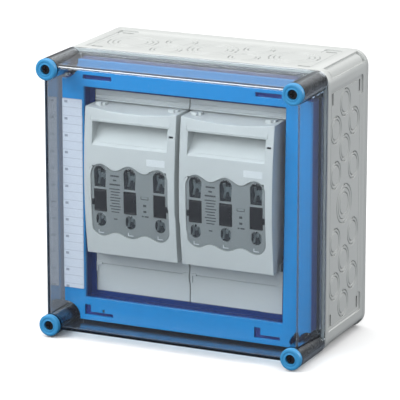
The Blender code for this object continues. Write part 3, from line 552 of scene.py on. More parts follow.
def settled_dust_group():
    """A thin film of dust on what faces up, thicker in patches."""
    name = "Settled dust"
    if name in bpy.data.node_groups:
        return bpy.data.node_groups[name]
    group, inputs, outputs = new_group(name, {
        "Colour": (0.6, 0.6, 0.6, 1), "Dust": (0.62, 0.60, 0.56, 1), "Amount": 0.15,
    }, ("Colour",))
    normal = node(group, "ShaderNodeNewGeometry").outputs["Normal"]
    up = math_node(group, "MAXIMUM", axis(group, normal, "Z"), 0.0)
    patch = noise(group, local_place(group), 60.0, detail=8.0, roughness=0.7)
    film = math_node(group, "MULTIPLY", math_node(group, "MULTIPLY", up, patch), inputs["Amount"])
    group.links.new(mix_colour(group, film, inputs["Colour"], inputs["Dust"]), outputs["Colour"])
    return group


def brushed_metal_group():
    """Rolled or drawn metal: fine lines along Z and a cloudy sheen."""
    name = "Brushed metal"
    if name in bpy.data.node_groups:
        return bpy.data.node_groups[name]
    group, inputs, outputs = new_group(name, {
        "Colour": (0.7, 0.7, 0.7, 1), "Roughness": 0.3, "Line depth": 0.1,
    }, ("Colour", "Roughness", "Normal"))
    place = local_place(group)
    stretch = node(group, "ShaderNodeMapping")
    stretch.inputs["Scale"].default_value = (1.0, 1.0, 0.03)
    group.links.new(place, stretch.inputs["Vector"])
    lines = noise(group, stretch.outputs[0], 1400.0, detail=2.0)
    cloud = math_node(group, "SUBTRACT", noise(group, place, 45.0), 0.5)
    shade = math_node(group, "ADD", math_node(group, "MULTIPLY", cloud, 0.14), 1.0)
    group.links.new(scaled_colour(group, inputs["Colour"], shade), outputs["Colour"])
    rough = math_node(group, "ADD", inputs["Roughness"], math_node(group, "MULTIPLY", cloud, 0.2))
    group.links.new(rough, outputs["Roughness"])
    group.links.new(bumped(group, lines, inputs["Line depth"]), outputs["Normal"])
    return group


def place_group(tree, group, **values):
    """The group in a material, with its own values on the sockets."""
    made = node(tree, "ShaderNodeGroup", node_tree=group)
    for name, value in values.items():
        made.inputs[name.replace("_", " ").capitalize()].default_value = value
    return made


def blank_material(name):
    material = bpy.data.materials.new(name)
    material.use_nodes = True
    return material, material.node_tree, material.node_tree.nodes["Principled BSDF"]


def moulded_material(
    name, colour, roughness=0.4, mottle=0.05, spread=0.08, grain=900.0, depth=0.05, dust=0.0, coat=0.0
):
    """A moulded plastic finish."""
    if name in bpy.data.materials:
        return bpy.data.materials[name]
    material, tree, shader = blank_material(name)
    surface = place_group(
        tree, moulded_surface_group(), Colour=(*colour, 1), Mottle=mottle, Roughness=roughness,
        Gloss_spread=spread, Grain_scale=grain, Grain_depth=depth,
    )
    shown = surface.outputs["Colour"]
    if dust:
        film = place_group(tree, settled_dust_group(), Amount=dust)
        tree.links.new(shown, film.inputs["Colour"])
        shown = film.outputs["Colour"]
    tree.links.new(shown, shader.inputs["Base Color"])
    tree.links.new(surface.outputs["Roughness"], shader.inputs["Roughness"])
    tree.links.new(surface.outputs["Normal"], shader.inputs["Normal"])
    shader.inputs["IOR"].default_value = 1.5
    shader.inputs["Coat Weight"].default_value = coat
    shader.inputs["Coat Roughness"].default_value = 0.15
    return material


def metal_material(name, colour, roughness, line_depth):
    if name in bpy.data.materials:
        return bpy.data.materials[name]
    material, tree, shader = blank_material(name)
    surface = place_group(
        tree, brushed_metal_group(), Colour=(*colour, 1), Roughness=roughness, Line_depth=line_depth
    )
    for output, socket in (("Colour", "Base Color"), ("Roughness", "Roughness"), ("Normal", "Normal")):
        tree.links.new(surface.outputs[output], shader.inputs[socket])
    shader.inputs["Metallic"].default_value = 1.0
    return material


def clear_material(name, tint, roughness, density=0.0):
    """Clear plastic that lets lamp light through without bending it, darker along its edges."""
    if name in bpy.data.materials:
        return bpy.data.materials[name]
    material, tree, shader = blank_material(name)
    shader.inputs["Base Color"].default_value = (*tint, 1)
    smudges = noise(tree, local_place(tree), 35.0)
    rough = ranged(tree, smudges, 0.4, 0.75, roughness, roughness + 0.05)
    tree.links.new(rough, shader.inputs["Roughness"])
    shader.inputs["IOR"].default_value = 1.52
    shader.inputs["Transmission Weight"].default_value = 1.0
    path = node(tree, "ShaderNodeLightPath")
    through = node(tree, "ShaderNodeBsdfTransparent")
    through.inputs["Color"].default_value = (*tint, 1)
    mix = node(tree, "ShaderNodeMixShader")
    output = tree.nodes["Material Output"]
    tree.links.new(path.outputs["Is Shadow Ray"], mix.inputs[0])
    tree.links.new(shader.outputs[0], mix.inputs[1])
    tree.links.new(through.outputs[0], mix.inputs[2])
    tree.links.new(mix.outputs[0], output.inputs["Surface"])
    if density:
        depth = node(tree, "ShaderNodeVolumeAbsorption")
        depth.inputs["Color"].default_value = (0.5, 0.6, 0.7, 1)
        depth.inputs["Density"].default_value = density
        tree.links.new(depth.outputs[0], output.inputs["Volume"])
    return material


def label_material(name, pitch, top):
    """White card ruled with thin lines and a short mark by every other line."""
    if name in bpy.data.materials:
        return bpy.data.materials[name]
    material, tree, shader = blank_material(name)
    place = local_place(tree)
    across = axis(tree, place, "X")
    drop = math_node(tree, "SUBTRACT", top, axis(tree, place, "Z"))
    line_height, mark_height, mark_drop = 0.45 * MM, 2.6 * MM, 2.2 * MM
    mark_left, mark_right = LABEL.x_low + 2.4 * MM, LABEL.x_low + 6 * MM

    def stripe(period, height, shift=0.0):
        turns = math_node(tree, "DIVIDE", math_node(tree, "ADD", drop, shift), period)
        return math_node(tree, "LESS_THAN", math_node(tree, "FRACT", turns), height / period)

    lines = math_node(tree, "MULTIPLY", stripe(pitch, line_height), 0.45)
    between = math_node(
        tree, "MULTIPLY", math_node(tree, "LESS_THAN", across, mark_right),
        math_node(tree, "GREATER_THAN", across, mark_left),
    )
    marks = math_node(tree, "MULTIPLY", stripe(2 * pitch, mark_height, -mark_drop), between)
    inked = math_node(tree, "MAXIMUM", lines, math_node(tree, "MULTIPLY", marks, 0.6))
    card = noise(tree, place, 300.0)
    paper = mix_colour(tree, card, (0.66, 0.69, 0.78, 1), (0.74, 0.77, 0.84, 1))
    tree.links.new(mix_colour(tree, inked, paper, (0.10, 0.12, 0.18, 1)), shader.inputs["Base Color"])
    shader.inputs["Roughness"].default_value = 0.55
    return material


def speckled_material(name, colour, speck, roughness):
    """Ceramic with small darker specks."""
    if name in bpy.data.materials:
        return bpy.data.materials[name]
    material, tree, shader = blank_material(name)
    place = local_place(tree)
    specks = ranged(tree, noise(tree, place, 700.0, detail=2.0), 0.60, 0.72)
    tree.links.new(mix_colour(tree, specks, (*colour, 1), (*speck, 1)), shader.inputs["Base Color"])
    tree.links.new(bumped(tree, noise(tree, place, 1200.0), 0.15), shader.inputs["Normal"])
    shader.inputs["Roughness"].default_value = roughness
    return material


def enclosure_finish(colours):
    return moulded_material("light grey moulding", colours.enclosure, roughness=0.42, mottle=0.04, dust=0.12)


def frame_finish(colours):
    """Glossy blue moulding with painted shade: it turns navy on the walls that run back into the box, where
    the well lies in shade.
    """
    material = moulded_material(
        "blue frame moulding", colours.cover_frame, roughness=0.22, mottle=0.06, depth=0.02, dust=0.02,
        coat=0.3,
    )
    tree = material.node_tree
    shader = tree.nodes["Principled BSDF"]
    shown = shader.inputs["Base Color"].links[0].from_socket
    # Painted shade: from just behind the front face the blue fades to navy along the depth, standing in for
    # the shade in the well and on the skirt.
    fade_start, fade_end = COVER_FRAME.front - 0.6 * MM, COVER_FRAME.front - 6 * MM
    depth = ranged(tree, axis(tree, local_place(tree), "Y"), -fade_start, -fade_end, kind="SMOOTHSTEP")
    tree.links.new(mix_colour(tree, depth, shown, FRAME_SHADE_NAVY), shader.inputs["Base Color"])
    return material


def handle_finish(colours):
    return moulded_material("handle grey moulding", colours.handle, roughness=0.34, mottle=0.03, depth=0.03)


def black_finish():
    return moulded_material("black moulding", (0.012, 0.012, 0.014), roughness=0.28, mottle=0.2, depth=0.04)


def clear_finish(colours):
    return clear_material("clear lid plastic", colours.lid_tint, 0.015, density=75.0)


# Enclosure base


def knockout_rings(places_small, places_large, small_radii, large_radii):
    """(u, v, radius) of every ring groove on a wall, u along the depth and v across."""
    rings = [(u, v, r) for u, v in places_small for r in small_radii]
    return rings + [(u, v, r) for u, v in places_large for r in large_radii]


def side_rings():
    """Two staggered rows of small knockouts, a middle row and one larger knockout."""
    step = 24.5 * MM
    outer_row, middle_row = (35.5 * MM, 83 * MM), (59.5 * MM, 107.5 * MM)
    rows = [(KNOCKOUT_MIDDLE + s * step, t * v) for s in (-1, 1) for t in (-1, 1) for v in outer_row]
    rows += [(KNOCKOUT_MIDDLE, t * v) for t in (-1, 1) for v in middle_row]
    small_radii, large_radii = (14.2 * MM, 10.6 * MM), (20.6 * MM, 16.4 * MM, 11.5 * MM)
    return knockout_rings(rows, [(KNOCKOUT_MIDDLE, 0.0)], small_radii, large_radii)


def top_rings():
    """Three large knockouts with two small ones in each gap."""
    small = [(u, t * 44.5 * MM) for u in (42 * MM, 82 * MM) for t in (-1, 1)]
    large = [(KNOCKOUT_MIDDLE, v) for v in (-92 * MM, 0.0, 92 * MM)]
    small_radii, large_radii = (16.6 * MM, 12.4 * MM), (26.6 * MM, 21.4 * MM, 15.8 * MM)
    return knockout_rings(small, large, small_radii, large_radii)


def add_ring_groove(bm, turn, centre_u, centre_v, radius, depth, level):
    """A V-shaped groove on the right wall, turned to its own wall."""
    half, proud = 1.1 * MM, 0.3 * MM
    section = ((radius - half, proud), (radius, -depth), (radius + half, proud))
    loops = []
    for loop_radius, rise in section:
        loops.append([
            turn @ Vector((level + rise, -(centre_u + a), centre_v + b)) for a, b in circle(loop_radius, 40)
        ])
    add_loft(bm, loops, ring=True)


def add_wall_block(bm, turn, outline, low, high):
    """A block on the right wall from an outline of (depth, across) points, turned to its wall."""
    add_loft(bm, [[turn @ Vector((x, -u, v)) for u, v in outline] for x in (low, high)])


def four_walls():
    """Every wall as its turn from the right wall and its ring grooves."""
    walls = [(Matrix.Rotation(about, 4, "Y"), side_rings()) for about in (0, math.pi)]
    return walls + [(Matrix.Rotation(about, 4, "Y"), top_rings()) for about in (math.pi / 2, -math.pi / 2)]


def build_base(sizes, colours):
    """The moulded base: rounded walls with knockout rings, slots and corner channels."""
    steps = sizes.arc_steps
    edge = 1.5 * MM
    stations = []
    for i in range(5):
        angle = i / 4 * math.pi / 2
        inset = edge * (1 - math.sin(angle))
        stations.append((BOX_HALF - inset, BOX_CORNER - inset, edge * (1 - math.cos(angle))))
    stations += [
        (BOX_HALF, BOX_CORNER, BASE.front - 0.8 * MM),
        (BOX_HALF - 0.3 * MM, BOX_CORNER - 0.3 * MM, BASE.front - 0.25 * MM),
        (BOX_HALF - 0.8 * MM, BOX_CORNER - 0.8 * MM, BASE.front),
    ]
    past = 1 * MM
    level = BOX_HALF - sizes.panel_depth
    cavity = rounded_rect(BOX_HALF - WALL, BOX_HALF - WALL, BOX_CORNER - WALL, steps)
    rim_opening = notched_square(136 * MM, FRAME_NOTCH + 0.5 * MM, steps)
    groove_outer = notched_square(GASKET.x_high + 0.3 * MM, TUBE_RADIUS - 0.3 * MM, steps)
    groove_inner = notched_square(GASKET.x_high - 3.8 * MM, GASKET_NOTCH + 0.3 * MM, steps)
    base = new_piece("enclosure_shell", lambda bm: add_loft(
        bm, [layered(rounded_rect(h, h, r, steps), d) for h, r, d in stations]
    ))

    def pillars(bm):
        for sx, sz in CORNERS.values():
            add_cylinder(bm, sx * FASTENER_AXIS, sz * FASTENER_AXIS, 11 * MM, 1.5 * MM, RIM_BACK + past)
            add_cylinder(bm, sx * PLATE_BOSS, sz * PLATE_BOSS, 6 * MM, 1.5 * MM, PLATE_BOSS_FRONT, 24)

    def bores(bm):
        for sx, sz in CORNERS.values():
            add_cylinder(bm, sx * FASTENER_AXIS, sz * FASTENER_AXIS, 7.9 * MM, 59.7 * MM, BASE.front + past)
            boss = sx * PLATE_BOSS, sz * PLATE_BOSS
            add_cylinder(bm, *boss, 2.6 * MM, 30 * MM, PLATE_BOSS_FRONT + past, 16)
            add_cylinder(bm, sx * WALL_HOLE_X, sz * WALL_HOLE_Z, 3.5 * MM, -past, WALL + past, 24)

    def panels(bm):
        """Shallow fields, sloped at their rear ends."""
        outer = rectangle(13 * MM, 104 * MM, -128 * MM, 128 * MM)
        inner = rectangle(19 * MM, 103 * MM, -127 * MM, 127 * MM)
        for turn, _ in four_walls():
            add_loft(bm, [
                [turn @ Vector((x, -u, v)) for u, v in outline]
                for x, outline in ((BOX_HALF + 0.4 * MM, outer), (level, inner))
            ])

    def rings(bm):
        for turn, grooves in four_walls():
            for u, v, radius in grooves:
                add_ring_groove(bm, turn, u, v, radius, sizes.groove_depth, level)

    def ring_notches(bm):
        """A notch on each side of every knockout's outer ring."""
        half_length, half_width = 2.4 * MM, 1.0 * MM
        for turn, grooves in four_walls():
            outer_rings = {}
            for u, v, radius in grooves:
                outer_rings[(u, v)] = max(radius, outer_rings.get((u, v), 0))
            for (u, v), radius in outer_rings.items():
                for sign in (-1, 1):
                    across = v + sign * (radius - 0.4 * MM)
                    outline = rectangle(
                        u - half_length, u + half_length, across - half_width, across + half_width
                    )
                    add_wall_block(bm, turn, outline, level - 1.5 * MM, level + past)

    def border_lines(bm):
        """A fine groove round each field."""
        back, front, half = 21 * MM, 101 * MM, 124.5 * MM
        for turn, _ in four_walls():
            loops = []
            for inset, rise in ((0, 0.3 * MM), (0.6 * MM, -0.7 * MM), (1.2 * MM, 0.3 * MM)):
                outline = rectangle(back + inset, front - inset, inset - half, half - inset)
                loops.append([turn @ Vector((level + rise, -u, v)) for u, v in outline])
            add_loft(bm, loops, ring=True)

    def rim_lines(bm):
        """Two fine grooves round the rear edge."""
        width = 1.0 * MM
        for low in (3.6 * MM, 7.2 * MM):
            high = low + width
            groove = ((low, 0.3 * MM), (low + width / 2, -0.6 * MM), (high, 0.3 * MM))
            add_loft(bm, [
                layered(rounded_rect(BOX_HALF + rise, BOX_HALF + rise, BOX_CORNER + rise, steps), depth)
                for depth, rise in (*groove, (high, past), (low, past))
            ], ring=True)

    def slots(bm):
        """Two slots near each end of a wall, the rear one in the pocket."""
        outline = rounded_rect(2 * MM, 6.5 * MM, 1 * MM, 3)
        for turn, _ in four_walls():
            for sign in (-1, 1):
                for u in (96.5 * MM, POCKET_DEPTH):
                    place = moved(outline, u, sign * 117 * MM)
                    add_wall_block(bm, turn, place, BOX_HALF - WALL - past, BOX_HALF + past)

    def rear_pockets(bm):
        outline = rounded_rect(7 * MM, 10.5 * MM, 3 * MM, 5)
        for turn, _ in four_walls():
            for sign in (-1, 1):
                place = moved(outline, POCKET_DEPTH, sign * 117.5 * MM)
                add_wall_block(bm, turn, place, BOX_HALF - 1.6 * MM, BOX_HALF + past)

    def corner_troughs(bm, inner, first, last, count, spans):
        """Parts of rings round the fastener axes, cut into the rounded vertical edges."""
        angles = [math.radians(first + (last - first) * i / count) for i in range(count + 1)]
        sector = fastener_arc(inner, angles) + fastener_arc(18 * MM, reversed(angles))
        for corner in range(4):
            turn = Matrix.Rotation(corner * math.pi / 2, 4, "Y")
            for low, high in spans:
                add_loft(bm, [[turn @ at(x, depth, z) for x, z in sector] for depth in (low, high)])

    cut(base, lambda bm: add_prism(bm, cavity, WALL, RIM_BACK))
    cut(base, lambda bm: add_prism(bm, rim_opening, RIM_BACK - past, BASE.front + past))
    join(base, pillars)
    cut(base, bores)
    cut(base, lambda bm: add_loft(bm, [
        layered(groove_inner, GASKET.back - 0.3 * MM), layered(groove_outer, GASKET.back - 0.3 * MM),
        layered(groove_outer, BASE.front + past), layered(groove_inner, BASE.front + past),
    ], ring=True))
    cut(base, panels)
    cut(base, rear_pockets)
    cut(base, rings)
    cut(base, border_lines)
    cut(base, ring_notches)
    cut(base, rim_lines)
    cut(base, slots)
    cut(base, lambda bm: corner_troughs(bm, 9.6 * MM, 8, 82, 16, [(7 * MM, 99 * MM)]))
    cut(base, lambda bm: corner_troughs(bm, 8.6 * MM, 12, 78, 12, [(8 * MM, 11 * MM), (95 * MM, 98 * MM)]))
    smooth(base, 30)
    dress(base, enclosure_finish(colours), "enclosure_grey", "box", "enclosure_base")


def build_gasket(sizes):
    """The foamed seal, with a rounded top."""
    steps = sizes.arc_steps
    outer, width = GASKET.x_high, 3.5 * MM
    mid_front = GASKET.front - 1 * MM
    section = ((0.0, GASKET.back), (0.0, mid_front), (0.9 * MM, GASKET.front),
               (width - 0.9 * MM, GASKET.front), (width, mid_front), (width, GASKET.back))
    gasket = new_piece("lid_seal", lambda bm: add_loft(bm, [
        layered(notched_square(outer - inset, TUBE_RADIUS + inset, steps), depth) for inset, depth in section
    ], ring=True))
    smooth(gasket, 40)
    finish = moulded_material(
        "foamed seal", (0.012, 0.012, 0.012), roughness=0.75, mottle=0.4, grain=1600.0, depth=0.3
    )
    dress(gasket, finish, "gasket_black", "box", "lid_gasket")


# Lid and fasteners


def build_lid(sizes, colours):
    """The clear lid: flange, lip on the seal, drafted walls, rounded front and corner tubes."""
    steps = sizes.arc_steps
    back = LID.back
    rear, front_half = 145.8 * MM, 142.8 * MM
    round_outer, round_inner = 4 * MM, 2 * MM
    inner_front = LID_FRONT - WALL
    stations = [
        (LID.x_high - 0.5 * MM, 14.5 * MM, back),
        (LID.x_high, 15 * MM, back + 0.5 * MM),
        (LID.x_high, 15 * MM, 113 * MM),
        (LID.x_high - 0.5 * MM, 14.5 * MM, 113.5 * MM),
        (rear + 0.6 * MM, 12.6 * MM, 113.7 * MM),
        (rear, 12 * MM, 114.6 * MM),
    ]
    for i in range(6):
        angle = i / 5 * math.pi / 2
        inset = round_outer * (1 - math.cos(angle))
        stations.append((front_half - inset, 9 * MM - inset, LID_FRONT - round_outer * (1 - math.sin(angle))))
    lip = notched_square(GASKET.x_high - 3.3 * MM, GASKET_NOTCH - 0.2 * MM, steps)
    seat = notched_square(GASKET.x_high + 0.3 * MM, TUBE_RADIUS - 0.3 * MM, steps)
    inner = [(rear - WALL - 0.5 * MM, 117 * MM)]
    for i in range(5):
        angle = i / 4 * math.pi / 2
        inset = round_inner * (1 - math.cos(angle))
        inner.append((front_half - WALL - inset, inner_front - round_inner * (1 - math.sin(angle))))

    def tubes(bm):
        lip_round = 0.6 * MM
        for sx, sz in CORNERS.values():
            profile = (
                (TUBE_RADIUS, back + 0.1 * MM),
                (TUBE_RADIUS, LID.front - lip_round),
                (TUBE_RADIUS - lip_round, LID.front),
            )
            axis = sx * FASTENER_AXIS, sz * FASTENER_AXIS
            add_loft(bm, [layered(moved(circle(r, 64), *axis), d) for r, d in profile])

    def bores(bm):
        for sx, sz in CORNERS.values():
            axis = sx * FASTENER_AXIS, sz * FASTENER_AXIS
            add_cylinder(bm, *axis, TUBE_BORE, back - 1 * MM, LID.front + 1 * MM, 64)

    lid = new_piece("clear_lid", lambda bm: add_loft(
        bm, [layered(rounded_rect(h, h, r, steps), d) for h, r, d in stations]
    ))
    join(lid, tubes)
    cut(lid, lambda bm: add_loft(bm, [layered(notched_square(h, TUBE_RADIUS, steps), d) for h, d in inner]))
    cut(lid, lambda bm: add_prism(bm, lip, GASKET.front, 118 * MM))
    cut(lid, lambda bm: add_prism(bm, seat, back - 1 * MM, GASKET.front + 0.3 * MM))
    cut(lid, bores)
    smooth(lid, 28)
    dress(lid, clear_finish(colours), "lid_clear", "lid", "lid_shell")


def build_fasteners(colours):
    """The four black screws in the lid's tubes and the blue rings round their heads."""
    ring_back, ring_front = RING.back, RING.front
    outer, bore = TUBE_RADIUS - 0.05 * MM, 5.2 * MM
    head_front = SCREW.front
    rings = (
        (outer, ring_back), (outer, ring_front - 1.6 * MM), (outer - 0.5 * MM, ring_front - 0.5 * MM),
        (outer - 1.6 * MM, ring_front), (8.6 * MM, ring_front), (8.2 * MM, ring_front - 0.5 * MM),
        (6.6 * MM, ring_front - 0.5 * MM), (6.2 * MM, ring_front - 0.1 * MM),
        (bore + 0.3 * MM, ring_front - 0.1 * MM),
        (bore, ring_front - 0.5 * MM), (bore, ring_back),
    )
    shaft = (
        (4.4 * MM, SCREW.back), (5.5 * MM, SCREW.back + 1.2 * MM), (5.5 * MM, 104 * MM),
        (4.9 * MM, 104.5 * MM),
        (4.9 * MM, 106.5 * MM), (5.5 * MM, 107 * MM), (5.5 * MM, 110.6 * MM), (7.2 * MM, 110.7 * MM),
        (7.7 * MM, 111.2 * MM), (7.7 * MM, 118 * MM), (7.1 * MM, 118.6 * MM), (7.1 * MM, 160 * MM),
        (7.7 * MM, 160.6 * MM), (7.7 * MM, 169.3 * MM), (7.2 * MM, 169.8 * MM), (4.6 * MM, 169.8 * MM),
        (4.6 * MM, head_front - 0.4 * MM), (4.2 * MM, head_front),
    )
    black = black_finish()
    blue = moulded_material("blue ring moulding", colours.ring, roughness=0.3, mottle=0.06, depth=0.03)
    collar = new_piece("fastener_ring_top_right", lambda bm: add_turned_ring(bm, rings, 64))
    smooth(collar, 30)
    screw = new_piece("fastener_screw_top_right", lambda bm: add_turned(bm, shaft, 48))
    slot = head_front - 2 * MM, head_front + 1 * MM
    reach, half_width = 3.1 * MM, 0.7 * MM
    for half_x, half_z in ((reach, half_width), (half_width, reach)):
        cut(screw, lambda bm: add_box(bm, -half_x, half_x, *slot, -half_z, half_z))
    smooth(screw, 30)
    for corner, (sx, sz) in CORNERS.items():
        place = (sx * FASTENER_AXIS, 0, sz * FASTENER_AXIS)
        ring_here = copy_piece(collar, "fastener_ring_" + corner + "_blue", place)
        screw_here = copy_piece(screw, "fastener_screw_" + corner + "_black", place)
        dress(ring_here, blue, "ring_blue", "lid", "lid_ring_" + corner)
        dress(screw_here, black, "fastener_black", "fastener_" + corner, "lid_screw_" + corner)
    bpy.data.objects.remove(collar)
    bpy.data.objects.remove(screw)


# Cover frame and label


def build_cover_frame(sizes, colours):
    """The blue frame: hollow from behind, with a stepped border, a well, slots and clips."""
    steps = sizes.arc_steps
    half, back, front = COVER_FRAME.x_high, COVER_FRAME.back, COVER_FRAME.front
    plate_back = front - FRAME_WALL
    past = 1 * MM
    well_outer = FRAME_OPENING + FRAME_WALL
    window_x, window_z = 108 * MM, 109 * MM
    hollow = notched_square(half - FRAME_WALL, FRAME_NOTCH + FRAME_WALL, steps)

    def outer(bm):
        add_loft(bm, [
            layered(notched_square(half, FRAME_NOTCH, steps), back),
            layered(notched_square(half, FRAME_NOTCH, steps), front - 1.2 * MM),
            layered(notched_square(half - 0.35 * MM, FRAME_NOTCH + 0.35 * MM, steps), front - 0.35 * MM),
            layered(notched_square(half - 1.2 * MM, FRAME_NOTCH + 1.2 * MM, steps), front),
        ])

    def band(bm, outer_half, inner_x, inner_z, band_back, band_front):
        loops = []
        for half_x, half_z, depth in (
            (inner_x, inner_z, band_back), (outer_half, outer_half, band_back),
            (outer_half, outer_half, band_front), (inner_x, inner_z, band_front),
        ):
            loops.append(layered(rectangle(-half_x, half_x, -half_z, half_z), depth))
        add_loft(bm, loops, ring=True)

    def slots(bm):
        ends = plate_back - past, front + past
        low, high = FRAME_SLOT_BOTTOM
        leg, leg_top = FRAME_SLOT_LEG
        for left, right in FRAME_SLOTS:
            add_box(bm, left, right, *ends, *FRAME_SLOT_TOP)
            outline = [
                (left, leg_top), (left, low), (right, low), (right, high), (left + leg, high),
                (left + leg, leg_top),
            ]
            add_prism(bm, outline, *ends)

    cover = new_piece("blue_frame", outer)
    cut(cover, lambda bm: add_prism(bm, hollow, back - past, plate_back))
    cut(cover, lambda bm: add_box(
        bm, -FRAME_OPENING, FRAME_OPENING, back, front + past, -FRAME_OPENING, FRAME_OPENING
    ))
    join(cover, lambda bm: band(
        bm, well_outer, FRAME_OPENING, FRAME_OPENING, FLANGE_BACK - 0.1 * MM, plate_back + past
    ))
    join(cover, lambda bm: band(
        bm, FRAME_OPENING + FRAME_WALL / 2, window_x, window_z, FLANGE_BACK, FLANGE_FRONT
    ))
    cut(cover, slots)
    soften(cover, 0.35 * MM, 2, 40)
    dress(cover, frame_finish(colours), "frame_blue", "box", "cover_frame")


def build_frame_details():
    """What stands behind the frame's slots: dark clips, and the small white latch at lower left."""
    dark = moulded_material("dark blue moulding", (0.02, 0.05, 0.28), roughness=0.35, mottle=0.05)
    back, front = 128.5 * MM, 130.6 * MM
    margin, lip, end_wall = 0.5 * MM, 1.2 * MM, 3 * MM
    heights = {"top": FRAME_SLOT_TOP, "bottom": (FRAME_SLOT_BOTTOM[0], FRAME_SLOT_LEG[1])}
    places = {
        f"{level}_{side}": (left - margin, right + margin, low - margin, high + margin)
        for level, (low, high) in heights.items()
        for side, (left, right) in zip(SIDES, FRAME_SLOTS)
    }
    for corner, (left, right, low, high) in places.items():
        clip = new_piece("frame_clip_" + corner, lambda bm: add_box(bm, left, right, back, front, low, high))
        cut(clip, lambda bm: add_box(
            bm, left + end_wall, right - end_wall, front - 0.8 * MM, front + 1 * MM, low + lip, high - lip
        ))
        dress(soften(clip, 0.2 * MM), dark, "frame_blue", "box")
    white = moulded_material("white latch moulding", (0.7, 0.72, 0.74), roughness=0.4)

    def latch_shape(bm):
        add_turned(bm, ((1.9 * MM, 130.8 * MM), (1.9 * MM, 133.4 * MM), (1.4 * MM, 134.0 * MM)), 24)

    latch = new_piece("frame_latch", latch_shape)
    latch.location = (-93 * MM, 0, -127.2 * MM)
    dress(smooth(latch), white, "label_white", "box")


def build_label(sizes):
    """The ruled label strip on the left of the frame."""
    half_x = (LABEL.x_high - LABEL.x_low) / 2
    half_z = (LABEL.z_high - LABEL.z_low) / 2
    outline = moved(rounded_rect(half_x, half_z, 0.8 * MM, 4), LABEL.x, LABEL.z)
    strip = new_piece("circuit_label", lambda bm: add_prism(bm, outline, LABEL.back, LABEL.front))
    soften(strip, 0.15 * MM)
    card = label_material("ruled label card", sizes.label_pitch, LABEL.z_high)
    dress(strip, card, "label_white", "box", "label_strip")


# Switches: built round x = 0, then placed left and right


def handle_front(z):
    """Depth of the handle's bulging front at height z."""
    fall = (z - BULGE_HEIGHT) / (HANDLE.z_high - BULGE_HEIGHT)
    return HANDLE.front - BULGE_FALL * fall * fall


def plate_front(z):
    """Depth of the window plate's face at height z."""
    return handle_front(z) - PLATE_INSET


def sheet_profile(z_low, z_high, inset, thickness, steps=36):
    """Side profile of a sheet that follows the handle's front."""
    heights = [z_low + (z_high - z_low) * i / steps for i in range(steps + 1)]
    back = [(handle_front(z) - inset - thickness, z) for z in heights]
    return back + [(handle_front(z) - inset, z) for z in reversed(heights)]


def filled_profile(z_low, z_high, inset, back, steps=36):
    heights = [z_low + (z_high - z_low) * i / steps for i in range(steps + 1)]
    return [(back, z_low), (back, z_high)] + [(handle_front(z) - inset, z) for z in reversed(heights)]


def place_both(piece, label, material, slot, body, node_name=None):
    """Put a copy of a piece at each switch, and remove the pattern piece."""
    for side in SIDES:
        x = Extent(f"{side}_handle").x
        twin = copy_piece(piece, f"{side}_{label}", (x, 0, 0))
        nodes = [f"{side}_{node_name}"] if node_name else []
        dress(twin, material, slot, body.format(side=side), *nodes)
    bpy.data.objects.remove(piece)


def dip_top_edge(handle):
    """Let the front edge of the handle's top dip in the middle, while its back edge stays straight."""
    dip, start, steps = 4.2 * MM, 84 * MM, 20
    bm = bmesh.new()
    bm.from_mesh(handle.data)
    for i in range(1, steps):
        place = HANDLE_HALF * (2 * i / steps - 1)
        geometry = bm.verts[:] + bm.edges[:] + bm.faces[:]
        bmesh.ops.bisect_plane(bm, geom=geometry, dist=1e-6, plane_co=(place, 0, 0), plane_no=(1, 0, 0))
    for vert in bm.verts:
        rise = min(1.0, max(0.0, (vert.co.z - start) / (HANDLE.z_high - start)))
        reach = min(1.0, max(0.0, (-vert.co.y - 123 * MM) / (20 * MM)))
        across = min(1.0, abs(vert.co.x) / HANDLE_HALF)
        vert.co.z -= dip * rise * reach * (1 - across * across)
    bm.to_mesh(handle.data)
    bm.free()


